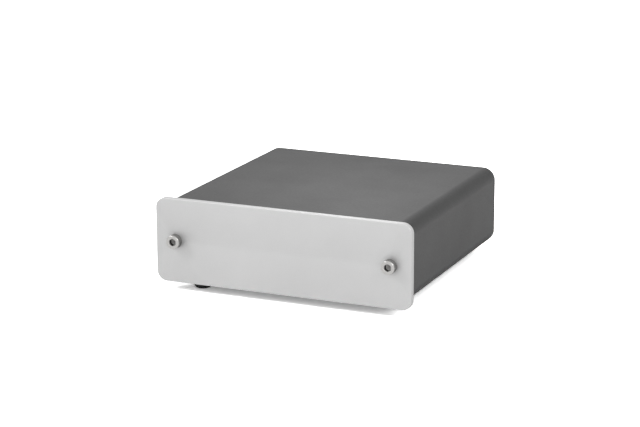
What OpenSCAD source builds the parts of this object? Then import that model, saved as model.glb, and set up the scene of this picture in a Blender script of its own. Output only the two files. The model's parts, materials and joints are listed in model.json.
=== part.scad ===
// Compact phono preamplifier: a folded steel sleeve clamped between an aluminium front panel
// and a steel rear panel, with a circuit board that ties the two panels together.
// Front faces -Y, +X is right seen from the front, +Z is up. Units are millimetres.

/* [Case] */
// Width of the steel sleeve, outside
case_w = 102.6; // [100:0.2:140]
// Height of the steel sleeve, outside
case_h = 31.2; // [30:0.2:50]
// Length of the steel sleeve between the two panels
sleeve_l = 96.1; // [94:0.1:140]
// Thickness of the sleeve's sheet
case_wall = 1.2; // [0.8:0.1:2]
// Outside radius of the sleeve's four long corners
case_r = 5; // [3:0.1:8]
// Open width of the butt seam under the sleeve
seam_w = 0.3; // [0.2:0.05:0.8]

/* [Front panel] */
// How far the front panel stands past the sleeve at each side
panel_side = 2.2; // [0.5:0.1:4]
// How far the front panel stands past the sleeve at top and bottom
panel_rise = 1.2; // [0.5:0.1:3]
// Thickness of the front panel
panel_t = 2.5; // [2:0.1:4]
// Radius of the front panel's corners
panel_r = 4; // [2:0.1:7]

/* [Screws] */
// Thread radius of the two cap screws and of the board screws
m3_r = 1.5; // [1.2:0.05:1.8]
// Radius of a cap screw's head
cap_head_r = 2.75; // [2.4:0.05:3.4]
// Height of a cap screw's head
cap_head_h = 3; // [2.4:0.1:3.6]
// Width across flats of the hexagon socket
hex_flats = 2.5; // [1.5:0.1:3]
// Depth of the hexagon socket
hex_depth = 1.6; // [1:0.1:2]
// Length of a cap screw under its head
cap_screw_l = 10; // [8:0.5:12]
// Radius of a pan head
pan_head_r = 2.7; // [2.2:0.05:3]
// Height of a pan head
pan_head_h = 1.8; // [1.2:0.1:2.4]
// Metal left between the tip of a board screw and the cap screw above it
screw_tip_gap = 1.7; // [1:0.1:2.5]
// Length of a socket screw under its head
socket_screw_l = 8; // [5:0.5:9]
// Size of the cross recess in a pan head
recess_l = 2.8; // [2:0.1:3.4]
// Depth of the cross recess in a pan head
recess_depth = 1.1; // [0.6:0.1:1.4]
// Free depth of a threaded hole past its screw's tip
screw_end_gap = 0.5; // [0.2:0.1:1]

/* [Anchor blocks] */
// Width of each threaded block behind the front panel
block_w = 7; // [6:0.1:8]
// Length of each threaded block, front to back
block_l = 9; // [8.5:0.1:11]
// Metal above the screw's axis in each threaded block
block_over = 3.8; // [3:0.1:5]

/* [Rear panel] */
// Thickness of the rear panel
rear_t = 1.5; // [1:0.1:2.5]

/* [Feet] */
// Height of a rubber foot without its adhesive pad
foot_h = 4.2; // [3:0.1:6]
// Radius of a foot where it meets its pad
foot_r = 4; // [3:0.1:6]
// Radius of the flat that a foot stands on
foot_flat_r = 2.5; // [2:0.1:3]
// Thickness of a foot's adhesive pad
pad_t = 0.5; // [0.3:0.1:1]
// How much smaller the adhesive pad is than its foot, all round
pad_inset = 0.2; // [0:0.1:0.5]
// Distance of the feet from the centre line
foot_x = 38; // [30:0.5:42]
// Distance from the front panel's back to the left front foot
foot_front = 6.5; // [6:0.5:20]
// How much further back the right front foot stands
foot_right_back = 5; // [0:0.5:10]
// Distance from the rear panel to the rear feet
foot_rear = 10; // [6:0.5:20]

/* [Circuit board] */
// Thickness of the circuit board
board_t = 1.6; // [1:0.1:2.4]
// Gap between the sleeve's floor and the board
board_lift = 4; // [3.5:0.1:5]
// Gap between the board's edges and the sleeve's walls
board_side_gap = 1.6; // [1:0.1:1.7]
// Gap between the board and the front panel
board_front_gap = 1.5; // [0.5:0.1:3]
// Gap between the board and the rear panel
board_rear_gap = 0.5; // [0.3:0.1:1]
// Thickness of the insulating sheet on the sleeve's floor
sheet_t = 0.3; // [0.1:0.05:0.5]
// Distance from the insulating sheet to the sleeve's corners
sheet_side_gap = 1; // [0.5:0.1:3]
// Distance from the insulating sheet to the panels
sheet_end_gap = 2; // [1:0.1:5]

/* [Signal sockets] */
// Gap between a collar and the screw head beside it
jack_screw_gap = 0.1; // [0.05:0.05:1]
// Height of a socket's axis above the board
jack_z = 8; // [7:0.1:9]
// Width that a block has beyond its two socket axes
jack_side = 6.5; // [6:0.1:7]
// Length of a socket block inside the case
jack_l = 11; // [9:0.5:14]
// Height of a socket block above its collars
jack_over = 0.2; // [0:0.1:1]
// Thickness of the plastic collar round a shell, where it passes the rear panel
collar_wall = 0.55; // [0.3:0.05:1]
// How far the collar stands out of the rear panel
collar_out = 0.5; // [0.2:0.1:1]
// Outside radius of the metal shell that a plug grips
shell_r = 4.15; // [4:0.01:4.3]
// How much narrower the shell's root is, where it sits in its block
shell_step = 0.2; // [0.2:0.05:0.3]
// Thickness of the shell
shell_wall = 0.6; // [0.4:0.05:0.7]
// Length of the shell outside its collar
shell_l = 9; // [8:0.1:10]
// Depth of the shell inside the case
shell_in = 3; // [2:0.1:4]
// Distance from the shell's mouth to its insulator
insulator_recess = 0.8; // [0.2:0.1:2]
// Bore radius of the centre contact
contact_r = 1.6; // [1.5:0.01:1.7]
// Thickness of the centre contact's tube
contact_wall = 0.4; // [0.2:0.05:0.5]
// Distance that a centre contact's ends stay inside its insulator
contact_recess = 0.5; // [0.2:0.1:1]
// Gap between a socket block and what sits beside it
socket_gap = 1.2; // [0.5:0.1:1.5]

/* [Power socket] */
// Width of the power socket's housing
dc_w = 9; // [8:0.1:9.4]
// Length of the power socket's housing
dc_l = 13.5; // [12:0.1:14]
// Height of the power socket's housing
dc_h = 11; // [10.5:0.1:12]
// Height of the power socket's axis above the board
dc_z = 6.5; // [6:0.1:7]
// Bore radius of the power socket
dc_bore_r = 3; // [2.8:0.05:3.2]
// Depth of the power socket's bore
dc_bore_l = 9.5; // [8:0.1:10]
// Radius of the power socket's centre pin
dc_pin_r = 1; // [0.9:0.05:1.25]
// Radius of the nose that passes the rear panel
dc_nose_r = 3.9; // [3.6:0.05:4.1]
// Width of the spring contact
dc_spring_w = 2.2; // [1.6:0.1:2.6]

/* [Mode switch] */
// Place of the mode switch along the width, which the sockets on both sides follow
switch_x = -1.25; // [-2:0.05:0]
// Width of the switch frame
switch_w = 11.4; // [11:0.1:12.4]
// Height of the switch frame
switch_h = 6.6; // [6:0.1:8]
// Length of the switch frame, front to back
switch_l = 4.6; // [4.2:0.1:6]
// Thickness of the frame's sheet
switch_wall = 0.5; // [0.3:0.05:0.6]
// Width of the lever
lever_w = 3.2; // [2.6:0.1:3.6]
// Height of the lever
lever_h = 3; // [2.4:0.1:3.6]
// How far the lever stands out of the rear panel
lever_out = 3.5; // [2:0.1:5]
// Travel of the lever
lever_travel = 3; // [2:0.1:3.4]
// Thickness of the lever's carriage inside the frame
carriage_t = 1.4; // [1:0.1:1.6]
// Width that the carriage has beyond the lever on each side
carriage_side = 1.1; // [0.8:0.1:1.2]

/* [Ground terminal] */
// Gap between the input socket block and the thumb nut
ground_gap = 2.5; // [1:0.1:3]
// Radius of the ground stud
stud_r = 2; // [1.8:0.05:2.2]
// How far the stud stands out of the rear panel
stud_out = 13; // [12.4:0.1:16]
// Radius of the stud's collar
stud_collar_r = 4; // [3.6:0.1:5]
// Thickness of the stud's collar
stud_collar_t = 1.2; // [0.8:0.1:1.6]
// Radius of the loose washer
washer_r = 4.4; // [4:0.1:5]
// Thickness of the loose washer
washer_t = 0.8; // [0.6:0.1:1]
// Radius of the knurled thumb nut
thumb_r = 4.8; // [4.2:0.1:5.4]
// Length of the knurled thumb nut
thumb_l = 7; // [6:0.1:7.4]
// Number of grooves round the thumb nut
thumb_grooves = 30; // [20:1:40]
// Width across flats of the nut inside the case
lock_flats = 7; // [6.5:0.1:8]
// Thickness of the nut inside the case
lock_t = 3.2; // [2.4:0.1:3.6]
// Thickness of the solder tag
tag_t = 0.8; // [0.5:0.1:1]
// Length of the solder tag below the stud's axis
tag_l = 7; // [6:0.1:9]
// Width of the solder tag's tongue
tag_w = 3; // [2.4:0.1:4]
// Radius of the ground wire
wire_r = 0.65; // [0.4:0.05:0.8]

/* [Fits] */
// Radial clearance of a screw in a plain hole
hole_gap = 0.2; // [0.1:0.05:0.4]
// Radial clearance that stands for a thread's flanks
thread_gap = 0.05; // [0.02:0.01:0.08]
// Gap round the sockets in the rear panel's holes
panel_gap = 0.15; // [0.1:0.05:0.3]
// Gap round what slides or turns
move_gap = 0.15; // [0.1:0.05:0.2]
// Gap between seated faces that come apart
seat_gap = 0.05; // [0.02:0.01:0.1]

/* [Hidden] */
$fn = 48;

// Heights
z_case = foot_h + pad_t;
z_mid = z_case + case_h / 2;
z_floor = z_case + case_wall;
z_board = z_floor + board_lift;
z_top = z_board + board_t;
z_jack = z_top + jack_z;
z_dc = z_top + dc_z;
z_lever = z_top + switch_h / 2;

// Front to back, with the whole object centred on the origin
y_face = (cap_head_h - panel_t - sleeve_l - rear_t - stud_out) / 2;
y_back = y_face + panel_t;
y_in = y_back + sleeve_l;
y_rear = y_in + rear_t;
y_board = y_back + board_front_gap;
y_collar = y_rear + collar_out;
y_mouth = y_collar + shell_l;
y_clamp = y_rear + stud_collar_t;

// Places of the feet: front left, front right, rear left, rear right
foot_places = [
    [-foot_x, y_back + foot_front],
    [foot_x, y_back + foot_front + foot_right_back],
    [-foot_x, y_in - foot_rear],
    [foot_x, y_in - foot_rear]
];

// Widths
panel_w = case_w + 2 * panel_side;
panel_h = case_h + 2 * panel_rise;
board_w = case_w - 2 * case_wall - 2 * board_side_gap;
board_l = sleeve_l - board_front_gap - board_rear_gap;
screw_x = board_w / 2 - block_w / 2;
board_screw_l = z_mid - m3_r - screw_tip_gap - z_board;
cap_reach = cap_screw_l - panel_t;
board_hole_y = y_back + block_l / 2;

// Sockets, with the left channel nearer the ground terminal
root_r = shell_r - shell_step;
collar_r = shell_r + collar_wall;
jack_h = jack_z + collar_r + jack_over;
jack_pitch = 2 * (collar_r + pan_head_r + jack_screw_gap);
jack_block_w = jack_pitch + 2 * jack_side;
output_x = switch_x - switch_w / 2 - socket_gap - jack_block_w / 2;
input_x = switch_x + switch_w / 2 + socket_gap + jack_block_w / 2;
dc_x = output_x - jack_block_w / 2 - socket_gap - dc_w / 2;
ground_x = input_x + jack_block_w / 2 + ground_gap + thumb_r;
output_jacks = [output_x - jack_pitch / 2, output_x + jack_pitch / 2];
input_jacks = [input_x - jack_pitch / 2, input_x + jack_pitch / 2];
left_jacks = [output_jacks[1], input_jacks[1]];
right_jacks = [output_jacks[0], input_jacks[0]];
all_jacks = concat(output_jacks, input_jacks);

// How far a cutting shape runs past the face that it cuts, and how far two shapes of one piece run
// into each other
cut_over = 1;
join_l = 1;

// Power socket details
dc_root_step = 0.3;
dc_root_r = dc_pin_r + dc_root_step;
dc_root_l = 2;
dc_pin_recess = 0.8;
dc_spring_t = 0.4;
dc_spring_gap = 0.2;
dc_slack = 0.1;
dc_slot_wall = 0.6;
z_spring = z_dc + dc_bore_r + dc_slack;

// Solder tabs of the sockets and of the switch: width, height and spacing
tab_t = 0.5;
jack_tab = [1.4, 5];
dc_tab = [1.6, 4];
dc_tab_pitch = 3;
switch_tab = [1, 3.4];
switch_tab_pitch = 3;

// Ground terminal details
stud_end = 2;
tag_rim = 1.8;
tag_eye_at = 5.8;
tag_eye_r = 0.7;
wire_bend = 3;
wire_bite = 0.4;
thumb_groove_r = 0.3;

// Foot details
foot_flare = 0.8;
foot_edge = 0.5;

// Component sizes
reservoir_r = 6.25;
reservoir_h = 16;
coupling_r = 3.15;
coupling_h = 11;
chip_w = 6.4;
chip_l = 9.6;
chip_h = 3.4;
chip_lift = 0.5;
chip_pitch = 2.54;
chip_row = 7.62;
chip_notch_r = 0.8;
chip_notch_depth = 0.4;
leg_w = 0.5;
leg_t = 0.3;
can_edge = 0.3;
can_groove = 0.35;
can_groove_z = 1.6;
can_rim = 0.8;
can_dish = 0.2;
film_size = [7.2, 3.5, 7.6];
input_film_size = [10.2, 4.4, 9.2];
disc_r = 2.6;
disc_t = 1.8;
disc_lift = 1.4;
disc_leg_x = 1.27;
disc_leg_bite = 0.6;
resistor_r = 1.2;
resistor_l = 6.2;
lead_r = 0.3;
lead_pitch = 10.16;
lead_lift = 1.3;
diode_r = 1.35;
diode_l = 5.2;
diode_lift = 0.2;
reg_w = 10;
reg_t = 4.4;
reg_h = 9;
reg_lift = 1;
reg_tab_t = 1.3;
reg_tab_h = 15;
reg_hole_r = 1.8;
reg_pitch = 2.54;
reg_leg = [0.8, 0.5];
reg_leg_at = 2.6;
to92_r = 2.3;
to92_h = 4.8;
to92_lift = 2;
to92_flat = 1.3;
to92_pitch = 1.27;
to92_leg_w = 0.44;
choke_r = 5;
choke_h = 9;
choke_flange = 1.2;
choke_core_r = 3.6;
header_pitch = 2.54;
header_rows_n = 3;
header_slack = 0.1;
header_base_h = 2.5;
header_pin_h = 8.5;
header_pin_w = 0.6;
jumper_h = 6;
jumper_w = 2.3;

// Places on the board: [x, distance behind the board's front edge]
channel_x = [2, 30];
reservoir_at = [[-38, 26], [-38, 42]];
regulator_at = [[-21, 26], [-21, 42]];
choke_at = [-28, 64];
diode_at = [[-40, 58], [-40, 63], [-40, 68], [-40, 73]];
chip_rows = [42, 66];
coupling_rows = [38, 48, 58, 68];
film_rows = [38, 44, 56, 62];
input_film_rows = [75.5];
disc_rows = [32.5, 51.5, 56.5];
resistor_rows = [10, 14, 18, 22];
transistor_rows = [28];
header_rows = [74];

// Sideways places from each channel's line
coupling_dx = 9;
film_dx = -9;
header_dx = -9;
resistor_dx = 6;
transistor_dx = 5;

// Shared shapes

module rounded_rect(w, h, r) {
    square([w - 2 * r, h], center = true);
    square([w, h - 2 * r], center = true);
    for (sx = [-1, 1], sz = [-1, 1])
        translate([sx * (w / 2 - r), sz * (h / 2 - r)]) circle(r);
}

// A plate: the 2D outline lies in X and Z, and the plate runs from y0 to y1
module along_y(y0, y1) {
    translate([0, y1, 0]) rotate([90, 0, 0]) linear_extrude(height = y1 - y0) children();
}

module rod_y(x, z, r, y0, y1) {
    translate([x, y0, z]) rotate([-90, 0, 0]) cylinder(h = y1 - y0, r = r);
}

module tube_y(x, z, r_out, r_in, y0, y1) {
    translate([x, 0, z]) along_y(y0, y1) difference() {
        circle(r_out);
        circle(r_in);
    }
}

// A box centred in X, from y0 to y1 and from z0 to z1
module slab(x, w, y0, y1, z0, z1) {
    translate([x - w / 2, y0, z0]) cube([w, y1 - y0, z1 - z0]);
}

// A place on the board's top face
module on_board(at) {
    translate([at[0], y_board + at[1], z_top]) children();
}

module hexagon(flats) {
    rotate(30) circle(r = flats / sqrt(3), $fn = 6);
}

module cross_recess(l, depth) {
    translate([-l / 2, -recess_l / 10, 0]) cube([l, recess_l / 5, depth]);
    translate([-recess_l / 10, -l / 2, 0]) cube([recess_l / 5, l, depth]);
}

// A pan head screw standing on its shank's end: the head is at the bottom
module pan_screw(length) {
    difference() {
        cylinder(h = pan_head_h, r = pan_head_r);
        translate([0, 0, -cut_over]) cross_recess(recess_l, recess_depth + cut_over);
    }
    translate([0, 0, pan_head_h]) cylinder(h = length, r = m3_r - thread_gap);
}

// Case

module front_panel() {
    color("#cdcdcd") along_y(y_face, y_back) difference() {
        translate([0, z_mid]) rounded_rect(panel_w, panel_h, panel_r);
        for (s = [-1, 1]) translate([s * screw_x, z_mid]) circle(m3_r + hole_gap);
    }
}

module front_panel_screws() {
    color("#c4c6c8") for (s = [-1, 1]) {
        translate([s * screw_x, 0, z_mid]) along_y(y_face - cap_head_h, y_face - cap_head_h + hex_depth)
            difference() {
                circle(cap_head_r);
                hexagon(hex_flats);
            }
        rod_y(s * screw_x, z_mid, cap_head_r, y_face - cap_head_h + hex_depth, y_face);
        rod_y(s * screw_x, z_mid, m3_r - thread_gap, y_face, y_face + cap_screw_l);
    }
}

module front_anchor_blocks() {
    color("#b8babc") for (s = [-1, 1]) difference() {
        slab(s * screw_x, block_w, y_back, y_back + block_l, z_top, z_mid + block_over);
        rod_y(s * screw_x, z_mid, m3_r, y_back - cut_over, y_back + cap_reach + screw_end_gap);
        translate([s * screw_x, board_hole_y, z_top - cut_over])
            cylinder(h = cut_over + board_screw_l - board_t + screw_end_gap, r = m3_r);
    }
}

module anchor_block_screws() {
    color("#b4b6b8") for (s = [-1, 1])
        translate([s * screw_x, board_hole_y, z_board - pan_head_h]) pan_screw(board_screw_l);
}

module case_sleeve() {
    color("#707070") difference() {
        along_y(y_back, y_in) difference() {
            translate([0, z_mid]) rounded_rect(case_w, case_h, case_r);
            translate([0, z_mid])
                rounded_rect(case_w - 2 * case_wall, case_h - 2 * case_wall, case_r - case_wall);
        }
        slab(0, seam_w, y_back - cut_over, y_in + cut_over, z_case - cut_over, z_floor + cut_over);
    }
}

module insulating_sheet() {
    color("#3b3b38")
        slab(0, case_w - 2 * case_r - 2 * sheet_side_gap, y_back + sheet_end_gap, y_in - sheet_end_gap,
            z_floor, z_floor + sheet_t);
}

module rear_panel() {
    color("#6a6a6a") along_y(y_in, y_rear) difference() {
        translate([0, z_mid]) rounded_rect(case_w, case_h, case_r);
        for (x = all_jacks) translate([x, z_jack]) circle(collar_r + panel_gap);
        for (x = [output_x, input_x]) translate([x, z_jack]) circle(m3_r + hole_gap);
        translate([ground_x, z_mid]) circle(stud_r + hole_gap);
        translate([dc_x, z_dc]) circle(dc_nose_r + panel_gap);
        translate([switch_x, z_lever])
            square([lever_w + lever_travel + 4 * move_gap, lever_h + 4 * move_gap], center = true);
    }
}

module socket_block_screws() {
    color("#2a2a2a") for (x = [output_x, input_x])
        translate([x, y_rear + pan_head_h, z_jack]) rotate([90, 0, 0]) pan_screw(socket_screw_l);
}

module rubber_feet() {
    color("#1d1d1d") for (place = foot_places)
        translate([place.x, place.y, 0]) rotate_extrude() polygon([
            [0, 0],
            [foot_flat_r, 0],
            [foot_flat_r + foot_flare, foot_edge],
            [foot_r - foot_edge / 2, foot_h - 2 * foot_edge],
            [foot_r, foot_h],
            [0, foot_h]
        ]);
}

module foot_adhesive_pads() {
    color("#d8d4c8") for (place = foot_places)
        translate([place.x, place.y, foot_h]) cylinder(h = pad_t, r = foot_r - pad_inset);
}

module circuit_board() {
    color("#2f6b3a") difference() {
        slab(0, board_w, y_board, y_board + board_l, z_board, z_top);
        for (s = [-1, 1]) translate([s * screw_x, board_hole_y, z_board - cut_over])
            cylinder(h = board_t + 2 * cut_over, r = m3_r + hole_gap);
    }
}

// Signal sockets

module socket_block(x) {
    difference() {
        union() {
            slab(x, jack_block_w, y_in - jack_l, y_in, z_top, z_top + jack_h);
            for (s = [-1, 1]) rod_y(x + s * jack_pitch / 2, z_jack, collar_r, y_in - join_l, y_collar);
        }
        for (s = [-1, 1])
            rod_y(x + s * jack_pitch / 2, z_jack, root_r + seat_gap, y_in - shell_in, y_collar + cut_over);
        rod_y(x, z_jack, m3_r, y_in - socket_screw_l, y_in + cut_over);
    }
}

module input_socket_block() {
    color("#222222") socket_block(input_x);
}

module output_socket_block() {
    color("#222222") socket_block(output_x);
}

module socket_shell(x) {
    bore = shell_r - shell_wall;
    tube_y(x, z_jack, root_r, bore, y_in - shell_in, y_collar);
    tube_y(x, z_jack, shell_r, bore, y_collar, y_mouth);
}

module input_socket_shells() {
    color("#c9a75b") for (x = input_jacks) socket_shell(x);
}

module output_socket_shells() {
    color("#c9a75b") for (x = output_jacks) socket_shell(x);
}

module socket_insulator(x) {
    tube_y(x, z_jack, shell_r - shell_wall - seat_gap, contact_r + contact_wall + seat_gap,
        y_in - shell_in, y_mouth - insulator_recess);
}

module left_socket_insulators() {
    color("#e8e6e0") for (x = left_jacks) socket_insulator(x);
}

module right_socket_insulators() {
    color("#b3261e") for (x = right_jacks) socket_insulator(x);
}

module socket_centre_contacts() {
    color("#c9a75b") for (x = all_jacks)
        tube_y(x, z_jack, contact_r + contact_wall, contact_r,
            y_in - shell_in + contact_recess, y_mouth - insulator_recess - contact_recess);
}

module solder_tab(x, y, size) {
    slab(x, size[0], y - tab_t, y, z_top, z_top + size[1]);
}

module socket_solder_tabs() {
    color("#c8c8c8") for (x = concat(all_jacks, [output_x, input_x]))
        solder_tab(x, y_in - jack_l, jack_tab);
}

// Ground terminal

module ground_stud() {
    color("#c9a75b") {
        rod_y(ground_x, z_mid, stud_r, y_in - tag_t - lock_t - stud_end, y_rear + stud_out);
        rod_y(ground_x, z_mid, stud_collar_r, y_rear, y_clamp);
    }
}

module ground_lock_nut() {
    color("#c4c6c8") translate([ground_x, 0, z_mid]) along_y(y_in - tag_t - lock_t, y_in - tag_t)
        difference() {
            hexagon(lock_flats);
            circle(stud_r + thread_gap);
        }
}

module ground_solder_tag() {
    color("#c8c8c8") translate([ground_x, 0, z_mid]) along_y(y_in - tag_t, y_in) difference() {
        union() {
            circle(stud_r + tag_rim);
            translate([-tag_w / 2, -tag_l]) square([tag_w, tag_l]);
        }
        circle(stud_r + hole_gap);
        translate([0, -tag_eye_at]) circle(tag_eye_r);
    }
}

module ground_wire() {
    z_eye = z_mid - tag_eye_at;
    y_bend = y_in - tag_t - wire_bend;
    color("#2e7d32") {
        rod_y(ground_x, z_eye, wire_r, y_bend, y_in - tag_t + wire_bite);
        translate([ground_x, y_bend, z_eye]) sphere(wire_r);
        translate([ground_x, y_bend, z_top]) cylinder(h = z_eye - z_top, r = wire_r);
    }
}

module ground_washer() {
    y0 = y_clamp + seat_gap;
    color("#c4c6c8") tube_y(ground_x, z_mid, washer_r, stud_r + move_gap, y0, y0 + washer_t);
}

module ground_thumb_nut() {
    y0 = y_clamp + 2 * seat_gap + washer_t;
    color("#c9a75b") translate([ground_x, 0, z_mid]) along_y(y0, y0 + thumb_l) difference() {
        circle(thumb_r);
        circle(stud_r + thread_gap);
        for (i = [0 : thumb_grooves - 1])
            rotate(i * 360 / thumb_grooves) translate([thumb_r, 0]) circle(r = thumb_groove_r, $fn = 4);
    }
}

// Power socket

module power_socket_housing() {
    color("#1c1c1c") difference() {
        union() {
            slab(dc_x, dc_w, y_in - dc_l, y_in, z_top, z_top + dc_h);
            rod_y(dc_x, z_dc, dc_nose_r, y_in - join_l, y_rear);
        }
        rod_y(dc_x, z_dc, dc_bore_r, y_rear - dc_bore_l, y_rear + cut_over);
        rod_y(dc_x, z_dc, dc_root_r + seat_gap, y_rear - dc_bore_l - dc_root_l, y_rear);
        slab(dc_x, dc_spring_w + 2 * move_gap, y_rear - dc_bore_l, y_in - dc_slot_wall,
            z_dc, z_spring + dc_spring_t + dc_slack);
    }
}

module power_socket_pin() {
    color("#c8c8c8") {
        rod_y(dc_x, z_dc, dc_root_r, y_rear - dc_bore_l - dc_root_l, y_rear - dc_bore_l);
        rod_y(dc_x, z_dc, dc_pin_r, y_rear - dc_bore_l, y_rear - dc_pin_recess);
    }
}

module power_socket_spring() {
    color("#c9a75b") slab(dc_x, dc_spring_w, y_rear - dc_bore_l + dc_spring_gap,
        y_in - dc_slot_wall - dc_spring_gap, z_spring, z_spring + dc_spring_t);
}

module power_socket_tabs() {
    color("#c8c8c8") for (s = [-1, 0, 1]) solder_tab(dc_x + s * dc_tab_pitch, y_in - dc_l, dc_tab);
}

// Mode switch

module switch_frame() {
    inner_w = switch_w - 2 * switch_wall;
    inner_h = switch_h - 2 * switch_wall;
    color("#b9bbbd") difference() {
        slab(switch_x, switch_w, y_in - switch_l, y_in, z_top, z_top + switch_h);
        slab(switch_x, inner_w, y_in - switch_l - cut_over, y_in - switch_wall,
            z_top + switch_wall, z_top + switch_wall + inner_h);
        slab(switch_x, lever_w + lever_travel + 2 * move_gap, y_in - switch_wall - cut_over, y_in + cut_over,
            z_lever - lever_h / 2 - move_gap, z_lever + lever_h / 2 + move_gap);
    }
}

module switch_base() {
    w = switch_w - 2 * switch_wall - 2 * seat_gap;
    h = switch_h - 2 * switch_wall - 2 * seat_gap;
    y1 = y_in - switch_wall - carriage_t - 3 * move_gap;
    color("#2a1d14") slab(switch_x, w, y_in - switch_l, y1, z_lever - h / 2, z_lever + h / 2);
}

module switch_terminals() {
    color("#c8c8c8") for (s = [-1, 0, 1])
        solder_tab(switch_x + s * switch_tab_pitch, y_in - switch_l, switch_tab);
}

module mode_switch_lever() {
    x0 = switch_x - lever_travel / 2;
    y1 = y_in - switch_wall - move_gap;
    h = switch_h - 2 * switch_wall - 2 * move_gap;
    color("#151515") {
        slab(x0, lever_w, y1 - carriage_t / 2, y_rear + lever_out,
            z_lever - lever_h / 2, z_lever + lever_h / 2);
        slab(x0, lever_w + 2 * carriage_side, y1 - carriage_t, y1, z_lever - h / 2, z_lever + h / 2);
    }
}

// Parts on the board

module op_amps() {
    color("#1b1b1b") for (x = channel_x, y = chip_rows) on_board([x, y]) difference() {
        translate([-chip_w / 2, -chip_l / 2, chip_lift]) cube([chip_w, chip_l, chip_h]);
        translate([0, -chip_l / 2, chip_lift + chip_h - chip_notch_depth])
            cylinder(h = chip_notch_depth + cut_over, r = chip_notch_r);
    }
}

module op_amp_legs() {
    reach = chip_row / 2 - chip_w / 2;
    color("#c8c8c8") for (x = channel_x, y = chip_rows, s = [-1, 1], i = [-1.5 : 1.5])
        on_board([x + s * chip_w / 2, y + i * chip_pitch]) mirror([s < 0 ? 1 : 0, 0, 0]) {
            translate([0, -leg_w / 2, chip_lift + chip_h / 2]) cube([reach + leg_t, leg_w, leg_t]);
            translate([reach, -leg_w / 2, 0]) cube([leg_t, leg_w, chip_lift + chip_h / 2 + leg_t]);
        }
}

module can_capacitor(r, h) {
    rotate_extrude() polygon([
        [0, 0], [r - can_edge, 0], [r, can_edge],
        [r, can_groove_z - can_groove], [r - can_groove, can_groove_z], [r, can_groove_z + can_groove],
        [r, h - can_edge], [r - can_edge, h], [r - can_rim, h],
        [r - can_rim - can_dish / 2, h - can_dish], [0, h - can_dish]
    ]);
}

module reservoir_capacitors() {
    color("#1f2a44") for (at = reservoir_at) on_board(at) can_capacitor(reservoir_r, reservoir_h);
}

module coupling_capacitors() {
    color("#26241f") for (x = channel_x, y = coupling_rows)
        on_board([x + coupling_dx, y]) can_capacitor(coupling_r, coupling_h);
}

module filter_capacitors() {
    color("#b5342a") for (x = channel_x, y = film_rows)
        on_board([x + film_dx, y]) translate([-film_size[0] / 2, -film_size[1] / 2, 0]) cube(film_size);
}

module input_capacitors() {
    color("#c9b23a") for (x = channel_x, y = input_film_rows) on_board([x, y])
        translate([-input_film_size[0] / 2, -input_film_size[1] / 2, 0]) cube(input_film_size);
}

module ceramic_capacitors() {
    color("#c8873a") for (x = channel_x, y = disc_rows) on_board([x, y]) {
        translate([0, disc_t / 2, disc_lift + disc_r]) rotate([90, 0, 0]) cylinder(h = disc_t, r = disc_r);
        for (s = [-1, 1])
            translate([s * disc_leg_x, 0, 0]) cylinder(h = disc_lift + disc_leg_bite, r = lead_r);
    }
}

module each_resistor() {
    for (x = channel_x, s = [-1, 1], y = resistor_rows) on_board([x + s * resistor_dx, y]) children();
}

// Two bent legs that carry a body lying along X
module axial_leads(body_l, pitch) {
    for (s = [-1, 1]) {
        translate([s * pitch / 2, 0, 0]) cylinder(h = lead_lift, r = lead_r);
        translate([s * pitch / 2, 0, lead_lift]) sphere(lead_r);
        translate([s > 0 ? body_l / 2 : -pitch / 2, 0, lead_lift]) rotate([0, 90, 0])
            cylinder(h = (pitch - body_l) / 2, r = lead_r);
    }
}

module axial_body(body_l, r) {
    translate([-body_l / 2, 0, lead_lift]) rotate([0, 90, 0]) cylinder(h = body_l, r = r);
}

module resistors() {
    color("#7fa6c9") each_resistor() axial_body(resistor_l, resistor_r);
}

module resistor_leads() {
    color("#c8c8c8") each_resistor() axial_leads(resistor_l, lead_pitch);
}

module rectifier_diodes() {
    color("#191919") for (at = diode_at) on_board(at)
        translate([0, 0, diode_lift]) axial_body(diode_l, diode_r);
}

module rectifier_leads() {
    color("#c8c8c8") for (at = diode_at) on_board(at) axial_leads(diode_l, lead_pitch);
}

module regulator_bodies() {
    color("#1b1b1b") for (at = regulator_at) on_board(at)
        translate([-reg_w / 2, -reg_t, reg_lift]) cube([reg_w, reg_t - reg_tab_t, reg_h]);
}

module regulator_tabs() {
    color("#b9bbbd") for (at = regulator_at) on_board(at) difference() {
        translate([-reg_w / 2, -reg_tab_t, reg_lift]) cube([reg_w, reg_tab_t, reg_tab_h]);
        translate([0, cut_over, reg_lift + (reg_tab_h + reg_h) / 2]) rotate([90, 0, 0])
            cylinder(h = reg_tab_t + 2 * cut_over, r = reg_hole_r);
    }
}

module regulator_legs() {
    color("#c8c8c8") for (at = regulator_at, i = [-1, 0, 1]) on_board(at)
        translate([i * reg_pitch - reg_leg[0] / 2, -reg_leg_at, 0])
            cube([reg_leg[0], reg_leg[1], reg_lift]);
}

module input_transistors() {
    color("#1b1b1b") for (x = channel_x, y = transistor_rows, s = [-1, 1])
        on_board([x + s * transistor_dx, y]) difference() {
            translate([0, 0, to92_lift]) cylinder(h = to92_h, r = to92_r);
            translate([-to92_r, to92_flat, to92_lift - cut_over])
                cube([2 * to92_r, to92_r, to92_h + 2 * cut_over]);
        }
}

module transistor_legs() {
    color("#c8c8c8") for (x = channel_x, y = transistor_rows, s = [-1, 1], i = [-1, 0, 1])
        on_board([x + s * transistor_dx + i * to92_pitch, y])
            translate([-to92_leg_w / 2, -to92_leg_w / 2, 0]) cube([to92_leg_w, to92_leg_w, to92_lift]);
}

module power_choke() {
    color("#7a4a22") on_board(choke_at) {
        cylinder(h = choke_flange, r = choke_r);
        cylinder(h = choke_h, r = choke_core_r);
        translate([0, 0, choke_h - choke_flange]) cylinder(h = choke_flange, r = choke_r);
    }
}

module each_header() {
    for (x = channel_x, y = header_rows) on_board([x + header_dx, y]) children();
}

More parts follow.
